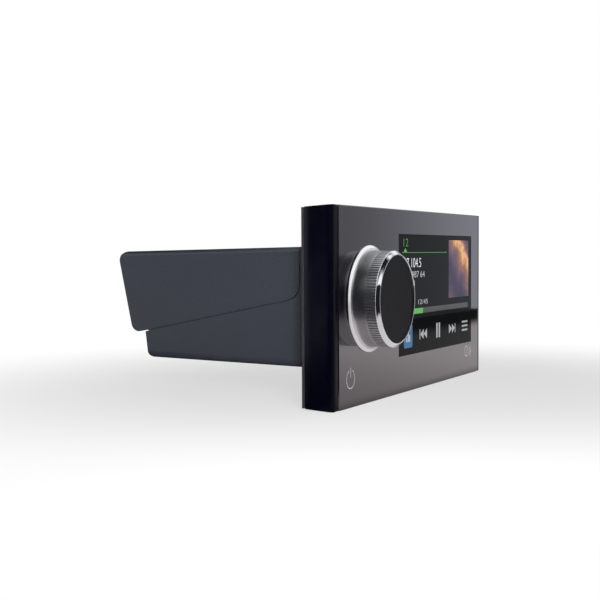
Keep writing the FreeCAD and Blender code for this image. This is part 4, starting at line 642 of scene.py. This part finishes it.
class Print:
    """Flat shapes on the front of the glass in one mesh.

    Places are millimetres from the lower left corner of the glass, lift is millimetres in front of it."""

    def __init__(self):
        self.mesh = bmesh.new()
        self.materials = []

    def number(self, material):
        if material not in self.materials:
            self.materials.append(material)
        return self.materials.index(material)

    def point(self, u, v, lift):
        return Vector((glass_low.x + u * MM, GLASS_FRONT - lift * MM, glass_low.z + v * MM))

    def polygon(self, points, material, lift):
        face = self.mesh.faces.new([self.mesh.verts.new(self.point(u, v, lift)) for u, v in points])
        face.material_index = self.number(material)

    def bar(self, u0, v0, u1, v1, material, lift, corner=0.0):
        if not corner:
            self.polygon([(u0, v0), (u1, v0), (u1, v1), (u0, v1)], material, lift)
            return
        points = []
        for cu, cv, turn in ((u1 - corner, v0 + corner, -90), (u1 - corner, v1 - corner, 0),
                             (u0 + corner, v1 - corner, 90), (u0 + corner, v0 + corner, 180)):
            for i in range(7):
                angle = math.radians(turn + 15 * i)
                points.append((cu + corner * math.cos(angle), cv + corner * math.sin(angle)))
        self.polygon(points, material, lift)

    def band(self, u, v, inner, outer, start, end, material, lift, steps=36):
        """Part of a ring between two angles in degrees."""
        for i in range(steps):
            a0 = math.radians(start + (end - start) * i / steps)
            a1 = math.radians(start + (end - start) * (i + 1) / steps)
            self.polygon([(u + inner * math.cos(a0), v + inner * math.sin(a0)),
                          (u + outer * math.cos(a0), v + outer * math.sin(a0)),
                          (u + outer * math.cos(a1), v + outer * math.sin(a1)),
                          (u + inner * math.cos(a1), v + inner * math.sin(a1))], material, lift)

    def figures(self, text, right, base, height, width, material, lift):
        """Plain numbers, set against their right end. width is for the whole text."""
        curve = bpy.data.curves.new("figures", "FONT")
        curve.body = text
        curve.offset = FIGURE_THINNING
        holder = bpy.data.objects.new("figures", curve)
        bpy.context.scene.collection.objects.link(holder)
        bpy.context.view_layer.update()
        outline = bpy.data.meshes.new_from_object(holder)
        xs = [p.co.x for p in outline.vertices]
        ys = [p.co.y for p in outline.vertices]
        wide, tall = max(xs) - min(xs), max(ys) - min(ys)
        for face in outline.polygons:
            corners = [outline.vertices[i].co for i in face.vertices]
            self.polygon([(right - width + (p.x - min(xs)) / wide * width,
                           base + (p.y - min(ys)) / tall * height) for p in corners], material, lift)
        bpy.data.objects.remove(holder)
        bpy.data.curves.remove(curve)
        bpy.data.meshes.remove(outline)

    def finish(self, name, slot):
        data = bpy.data.meshes.new(name)
        for face in self.mesh.faces:
            face.normal_update()
            if face.normal.y > 0:
                face.normal_flip()
        self.mesh.to_mesh(data)
        self.mesh.free()
        for material in self.materials:
            data.materials.append(material)
        piece = bpy.data.objects.new(name, data)
        bpy.context.scene.collection.objects.link(piece)
        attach(piece, "unit")
        return piece


def make_picture():
    """Player screen: source line, rows of plain numbers, picture, progress bar and the touch controls."""
    field = lit_finish("screen_field", (0.0125, 0.0136, 0.0145), 0.9)
    head = lit_finish("screen_head", (0.0105, 0.0110, 0.0112), 0.9)
    foot = lit_finish("screen_foot", (0.0050, 0.0053, 0.0056), 0.9)
    edge = lit_finish("screen_edge", (0.0060, 0.0060, 0.0062), 0.3)
    white = lit_finish("screen_white", (0.90, 0.91, 0.92), 0.85)
    pale = lit_finish("screen_pale", (0.55, 0.56, 0.57), 0.85)
    green = lit_finish("screen_green", (0.12, 0.40, 0.11), 0.90)
    dim_green = lit_finish("screen_green_dim", (0.085, 0.26, 0.085), 0.90)
    grey = lit_finish("screen_grey", (0.085, 0.087, 0.088), 0.9)
    control = lit_finish("screen_control", (0.38, 0.39, 0.40), 0.85)
    blue = lit_finish("screen_blue", (0.060, 0.150, 0.290), 0.85)
    cover = cover_picture_finish()
    sheet = Print()
    left, right, bottom, top = 60.9, 157.3, 16.5, 71.1
    sheet.bar(left, bottom, right, top, edge, 0.01)
    sheet.bar(left + 0.4, bottom + 0.4, right - 0.4, top - 0.4, field, 0.02)
    sheet.bar(left + 0.4, 62.6, 122.0, top - 0.4, head, 0.03)
    sheet.bar(left + 0.4, bottom + 0.4, right - 0.4, 32.6, foot, 0.03)
    # source line with its pointer
    sheet.figures("12", 71.8, 65.6, 3.5, 5.4, dim_green, 0.05)
    sheet.bar(64.6, 62.70, 121.4, 63.0, dim_green, 0.05)
    sheet.polygon([(66.4, 63.1), (70.6, 63.1), (68.5, 64.8)], green, 0.05)
    # rows of numbers, all from one left edge
    for text, end, base, height, ink in (("07 104.5", 87.4, 56.1, 4.2, white), ("12 1987 64", 91.8, 51.4, 2.9, pale),
                                         ("36 014", 79.7, 47.3, 2.9, pale), ("03:28  12/45", 95.7, 38.9, 2.2, pale)):
        sheet.figures(text, end, base, height, end - ROWS_LEFT, ink, 0.05)
    sheet.bar(124.0, 40.4, 152.8, 68.8, cover, 0.05)
    # progress bar
    sheet.bar(66.0, 34.7, 151.9, 37.2, grey, 0.04)
    sheet.bar(66.0, 34.7, 89.7, 37.2, green, 0.05)
    # controls
    sheet.bar(66.6, 19.7, 76.8, 30.5, blue, 0.05, 1.6)
    for u, v in ((69.6, 24.2), (71.3, 27.6), (73.0, 25.4)):
        sheet.bar(u, 22.4, u + 0.9, v, pale, 0.06)
    for shift in (0.0, 4.3):
        sheet.polygon([(90.6 + shift, 27.2), (86.5 + shift, 24.9), (90.6 + shift, 22.6)], control, 0.05)
        sheet.polygon([(124.4 + shift, 22.8), (128.5 + shift, 25.1), (124.4 + shift, 27.4)], control, 0.05)
    sheet.bar(85.6, 22.6, 86.4, 27.2, control, 0.05)
    sheet.bar(132.8, 22.8, 133.6, 27.4, control, 0.05)
    for u in (107.0, 110.2):
        sheet.bar(u, 21.9, u + 1.9, 29.0, control, 0.05)
    for v in (22.8, 24.9, 27.0):
        sheet.bar(143.2, v, 151.6, v + 0.9, control, 0.05)
    return sheet.finish("display_picture", "panel_glass")


def make_marks():
    """Touch marks printed on the glass: standby at the left, a plain zone mark at the right."""
    ink = finish("mark_ink", (0.36, 0.36, 0.37), 0.35, tone=0.08, tone_size=0.004, grain=[(0.0002, 0.000003)])
    bright = finish("mark_ink_bright", (0.55, 0.55, 0.56), 0.35, tone=0.08, tone_size=0.004)
    sheet = Print()
    sheet.band(10.8, 11.8, 3.6, 4.05, 118, 422, ink, 0.01, 48)
    sheet.bar(10.55, 12.4, 11.05, 16.4, ink, 0.01)
    sheet.band(150.2, 12.0, 2.2, 2.8, 0, 360, bright, 0.01)
    sheet.bar(149.9, 10.8, 150.5, 13.2, bright, 0.015)
    for reach in (2.0, 3.3):
        sheet.band(153.0, 12.0, reach, reach + 0.6, -50, 50, bright, 0.01, 14)
    return sheet.finish("glass_marks", "black_glass")


make_knob()
make_cap()
make_trim_ring()
make_side_cover("side_cover_left", "cover_left", -1)
make_side_cover("side_cover_right", "cover_right", 1)
make_rear_panel_screws()
make_cover_screws()
make_picture()
make_marks()


# Stage: floor, the studio that polished surfaces mirror, lamps and camera

def shader_links(material):
    """Empties a material's nodes and gives its links."""
    material.use_nodes = True
    material.node_tree.nodes.clear()
    return material.node_tree.links


def studio_tools(tree):
    """Small helpers for the stage's materials."""
    def add(kind, **settings):
        node = tree.nodes.new(kind)
        for key, value in settings.items():
            setattr(node, key, value)
        return node

    def ramp(source, start, end, low=0.0, high=1.0):
        node = add("ShaderNodeMapRange", interpolation_type="SMOOTHSTEP")
        for key, value in (("From Min", start), ("From Max", end), ("To Min", low), ("To Max", high)):
            node.inputs[key].default_value = value
        tree.links.new(source, node.inputs["Value"])
        return node.outputs["Result"]

    def mix(factor, first, second):
        node = add("ShaderNodeMix", data_type="RGBA")
        tree.links.new(factor, node.inputs["Factor"])
        for name, value in (("A", first), ("B", second)):
            socket = [s for s in node.inputs if s.name == name and s.type == "RGBA"][0]
            if isinstance(value, tuple):
                socket.default_value = (*value, 1)
            else:
                tree.links.new(value, socket)
        return [s for s in node.outputs if s.type == "RGBA"][0]

    return add, ramp, mix


DOME_RADIUS = 0.75
DARK = (0.012, 0.012, 0.015)
WHITE = (0.97, 0.97, 0.98)
BACK_LIGHT = (0.74, 0.82, 1.0)
REAR_WALL = (0.62, 0.64, 0.68)
REAR_FLOOR = (0.42, 0.43, 0.45)


def front_wall(ramp, mix, bearing):
    """Backdrop by the Y part of its direction: white in front, grey further right, paler at the far right."""
    wall = mix(ramp(bearing, -0.84, -0.70), WHITE, (0.39, 0.395, 0.44))
    return mix(ramp(bearing, -0.50, -0.28), wall, (0.80, 0.83, 0.93))


def make_floor():
    """Pale floor, white far off, with the object's shadow. Mirrors see a white table top that ends, greyed near the
    object by a painted shadow.
    """
    bpy.ops.mesh.primitive_circle_add(vertices=96, radius=30, fill_type="TRIFAN", location=(0, 0, FLOOR_Z))
    floor = bpy.context.object
    floor.name = "floor"
    material = bpy.data.materials.new("floor")
    links = shader_links(material)
    add, ramp, mix = studio_tools(material.node_tree)
    place = add("ShaderNodeNewGeometry").outputs["Position"]
    split = add("ShaderNodeSeparateXYZ")
    links.new(place, split.inputs[0])
    x, y = split.outputs["X"], split.outputs["Y"]
    aim = add("ShaderNodeVectorMath", operation="NORMALIZE")
    links.new(place, aim.inputs[0])
    bearing = add("ShaderNodeSeparateXYZ")
    links.new(aim.outputs[0], bearing.inputs[0])
    away = add("ShaderNodeVectorMath", operation="LENGTH")
    links.new(place, away.inputs[0])
    path = add("ShaderNodeLightPath")
    diffuse = add("ShaderNodeBsdfDiffuse")
    diffuse.inputs["Color"].default_value = (0.90, 0.90, 0.90, 1)
    white = add("ShaderNodeEmission")
    fade = add("ShaderNodeMixShader")
    links.new(ramp(away.outputs["Value"], 0.09, 0.30, 0.62, 1.0), fade.inputs[0])
    links.new(diffuse.outputs[0], fade.inputs[1])
    links.new(white.outputs[0], fade.inputs[2])
    # what polished parts see: dark on the left, a painted shadow of the object that greys the table near it and pales
    # to the right, and on the right a dark strip before the wall
    mirror = add("ShaderNodeEmission")
    # painted shadow: the table that mirrors see is greyer near the object, white further right
    table = mix(ramp(x, -0.10, 0.20), (0.60, 0.565, 0.58), (1.0, 0.95, 0.97))
    table = mix(ramp(x, -0.118, -0.096), DARK, table)
    table = mix(ramp(y, -0.03, 0.0), table, mix(ramp(y, 0.13, 0.20), DARK, REAR_FLOOR))
    strip = mix(ramp(y, -0.280, -0.255), front_wall(ramp, mix, bearing.outputs["Y"]), DARK)
    ending = mix(ramp(y, -0.172, -0.130), strip, table)
    links.new(mix(ramp(x, 0.15, 0.30), table, ending), mirror.inputs["Color"])
    seen = add("ShaderNodeMixShader")
    links.new(path.outputs["Is Camera Ray"], seen.inputs[0])
    links.new(diffuse.outputs[0], seen.inputs[1])
    links.new(fade.outputs[0], seen.inputs[2])
    last = add("ShaderNodeMixShader")
    links.new(path.outputs["Is Glossy Ray"], last.inputs[0])
    links.new(seen.outputs[0], last.inputs[1])
    links.new(mirror.outputs[0], last.inputs[2])
    links.new(last.outputs[0], add("ShaderNodeOutputMaterial").inputs["Surface"])
    material.cycles.emission_sampling = "NONE"
    floor.data.materials.append(material)


def make_studio():
    """Dome that only mirrors see: walls in front and to the right, a dark room on the left, light from above."""
    bpy.ops.mesh.primitive_uv_sphere_add(segments=64, ring_count=32, radius=DOME_RADIUS, location=(0, 0, 0))
    dome = bpy.context.object
    dome.name = "studio_dome"
    material = bpy.data.materials.new("studio_dome")
    links = shader_links(material)
    add, ramp, mix = studio_tools(material.node_tree)
    aim = add("ShaderNodeVectorMath", operation="NORMALIZE")
    links.new(add("ShaderNodeNewGeometry").outputs["Position"], aim.inputs[0])
    split = add("ShaderNodeSeparateXYZ")
    links.new(aim.outputs[0], split.inputs[0])
    x, y, height = (split.outputs[axis] for axis in "XYZ")
    # right of the object: wall, white higher up, dark behind
    wall = mix(ramp(height, 0.20, 0.42), front_wall(ramp, mix, y), WHITE)
    behind = mix(ramp(y, 0.41, 0.51), mix(ramp(height, 0.25, 0.50), DARK, WHITE), DARK)
    wall = mix(ramp(y, -0.16, 0.05), wall, behind)
    # left of the object: a light box high up in front, light over the rear, dark between
    box_light = mix(ramp(height, 0.39, 0.45), DARK, WHITE)
    dusk = (0.030, 0.030, 0.035)
    band = mix(ramp(height, 0.50, 0.62), mix(ramp(height, 0.20, 0.36), dusk, (0.66, 0.70, 0.78)), dusk)
    rear = mix(ramp(y, 0.41, 0.51), mix(ramp(height, 0.30, 0.66), dusk, WHITE), dusk)
    rear = mix(ramp(y, 0.46, 0.50), rear, band)
    room = mix(ramp(y, -0.74, -0.62), box_light, DARK)
    room = mix(ramp(y, 0.05, 0.30), room, rear)
    sides = mix(ramp(x, -0.30, -0.08), room, wall)
    front_above = mix(ramp(x, 0.30, 0.55), DARK, WHITE)
    rear_above = mix(ramp(y, 0.41, 0.51), mix(ramp(y, -0.12, 0.02), DARK, WHITE), DARK)
    above = mix(ramp(y, -0.35, -0.18), front_above, rear_above)
    above = mix(ramp(x, -0.35, -0.10), sides, above)
    ceiling = mix(ramp(height, 0.55, 0.80), sides, above)
    back_light = mix(ramp(x, -0.30, -0.08), BACK_LIGHT, DARK)
    back = mix(ramp(y, 0.54, 0.80), ceiling, back_light)
    back = mix(ramp(y, 0.86, 0.94), back, REAR_WALL)
    glow = add("ShaderNodeEmission")
    links.new(back, glow.inputs["Color"])
    links.new(glow.outputs[0], add("ShaderNodeOutputMaterial").inputs["Surface"])
    dome.data.materials.append(material)
    for ray in ("camera", "diffuse", "shadow", "transmission", "volume_scatter"):
        setattr(dome, "visible_" + ray, False)


def make_world():
    world = bpy.data.worlds.new("studio")
    bpy.context.scene.world = world
    world.use_nodes = True
    world.node_tree.nodes.clear()
    add, ramp, mix = studio_tools(world.node_tree)
    path = add("ShaderNodeLightPath")
    background = add("ShaderNodeBackground")
    aim = add("ShaderNodeSeparateXYZ")
    world.node_tree.links.new(add("ShaderNodeTexCoord").outputs["Generated"], aim.inputs[0])
    soft = mix(ramp(aim.outputs["Z"], 0.10, 0.60), (0.56, 0.57, 0.59), (0.06, 0.06, 0.065))
    level = mix(path.outputs["Is Camera Ray"], soft, (1.0, 1.0, 1.0))
    world.node_tree.links.new(level, background.inputs["Color"])
    world.node_tree.links.new(background.outputs[0], add("ShaderNodeOutputWorld").inputs["Surface"])
    world.cycles_visibility.glossy = False


def add_lamp(name, place, target, size, power):
    """Round lamp, in metres and watts. Polished surfaces don't see it, because they see the dome."""
    data = bpy.data.lights.new(name, "AREA")
    data.shape = "DISK"
    data.size = size
    data.energy = power
    lamp = bpy.data.objects.new(name, data)
    lamp.location = place
    lamp.rotation_euler = (Vector(target) - Vector(place)).to_track_quat("-Z", "Y").to_euler()
    lamp.visible_glossy = False
    lamp.visible_camera = False
    bpy.context.scene.collection.objects.link(lamp)


# yaw, pitch and roll in degrees, focal length in millimetres on a 36 mm wide sensor
CAMERA_ANGLES = (62.124, -2.443, -0.258)
CAMERA_PLACE = (-0.48093, -0.20715, 0.02217)
CAMERA_LENS = 67.05


def add_camera():
    """Camera fitted to the photograph's glass and screen."""
    yaw, pitch, roll = (math.radians(angle) for angle in CAMERA_ANGLES)
    forward = Vector((math.sin(yaw) * math.cos(pitch), math.cos(yaw) * math.cos(pitch), math.sin(pitch)))
    level = Vector((math.cos(yaw), -math.sin(yaw), 0))
    above = level.cross(forward)
    right = math.cos(roll) * level + math.sin(roll) * above
    up = math.cos(roll) * above - math.sin(roll) * level
    data = bpy.data.cameras.new("camera")
    data.sensor_width = 36
    data.lens = CAMERA_LENS
    data.clip_start = 0.01
    data.clip_end = 100
    camera = bpy.data.objects.new("camera", data)
    matrix = Matrix((right, up, -forward)).transposed().to_4x4()
    matrix.translation = Vector(CAMERA_PLACE)
    camera.matrix_world = matrix
    bpy.context.scene.collection.objects.link(camera)
    bpy.context.scene.camera = camera


make_floor()
make_studio()
make_world()
add_lamp("key", (-0.34, -0.17, 0.025), (-0.06, 0.0, 0), 0.12, 1.45)
add_lamp("back_fill", (-0.5, 0.9, 0.10), (0, 0.03, 0), 0.7, 0.4)
add_lamp("right_fill", (0.9, -0.4, 0.15), (0, 0, 0), 0.8, 3.0)
add_camera()
bpy.context.scene.view_settings.view_transform = "Standard"
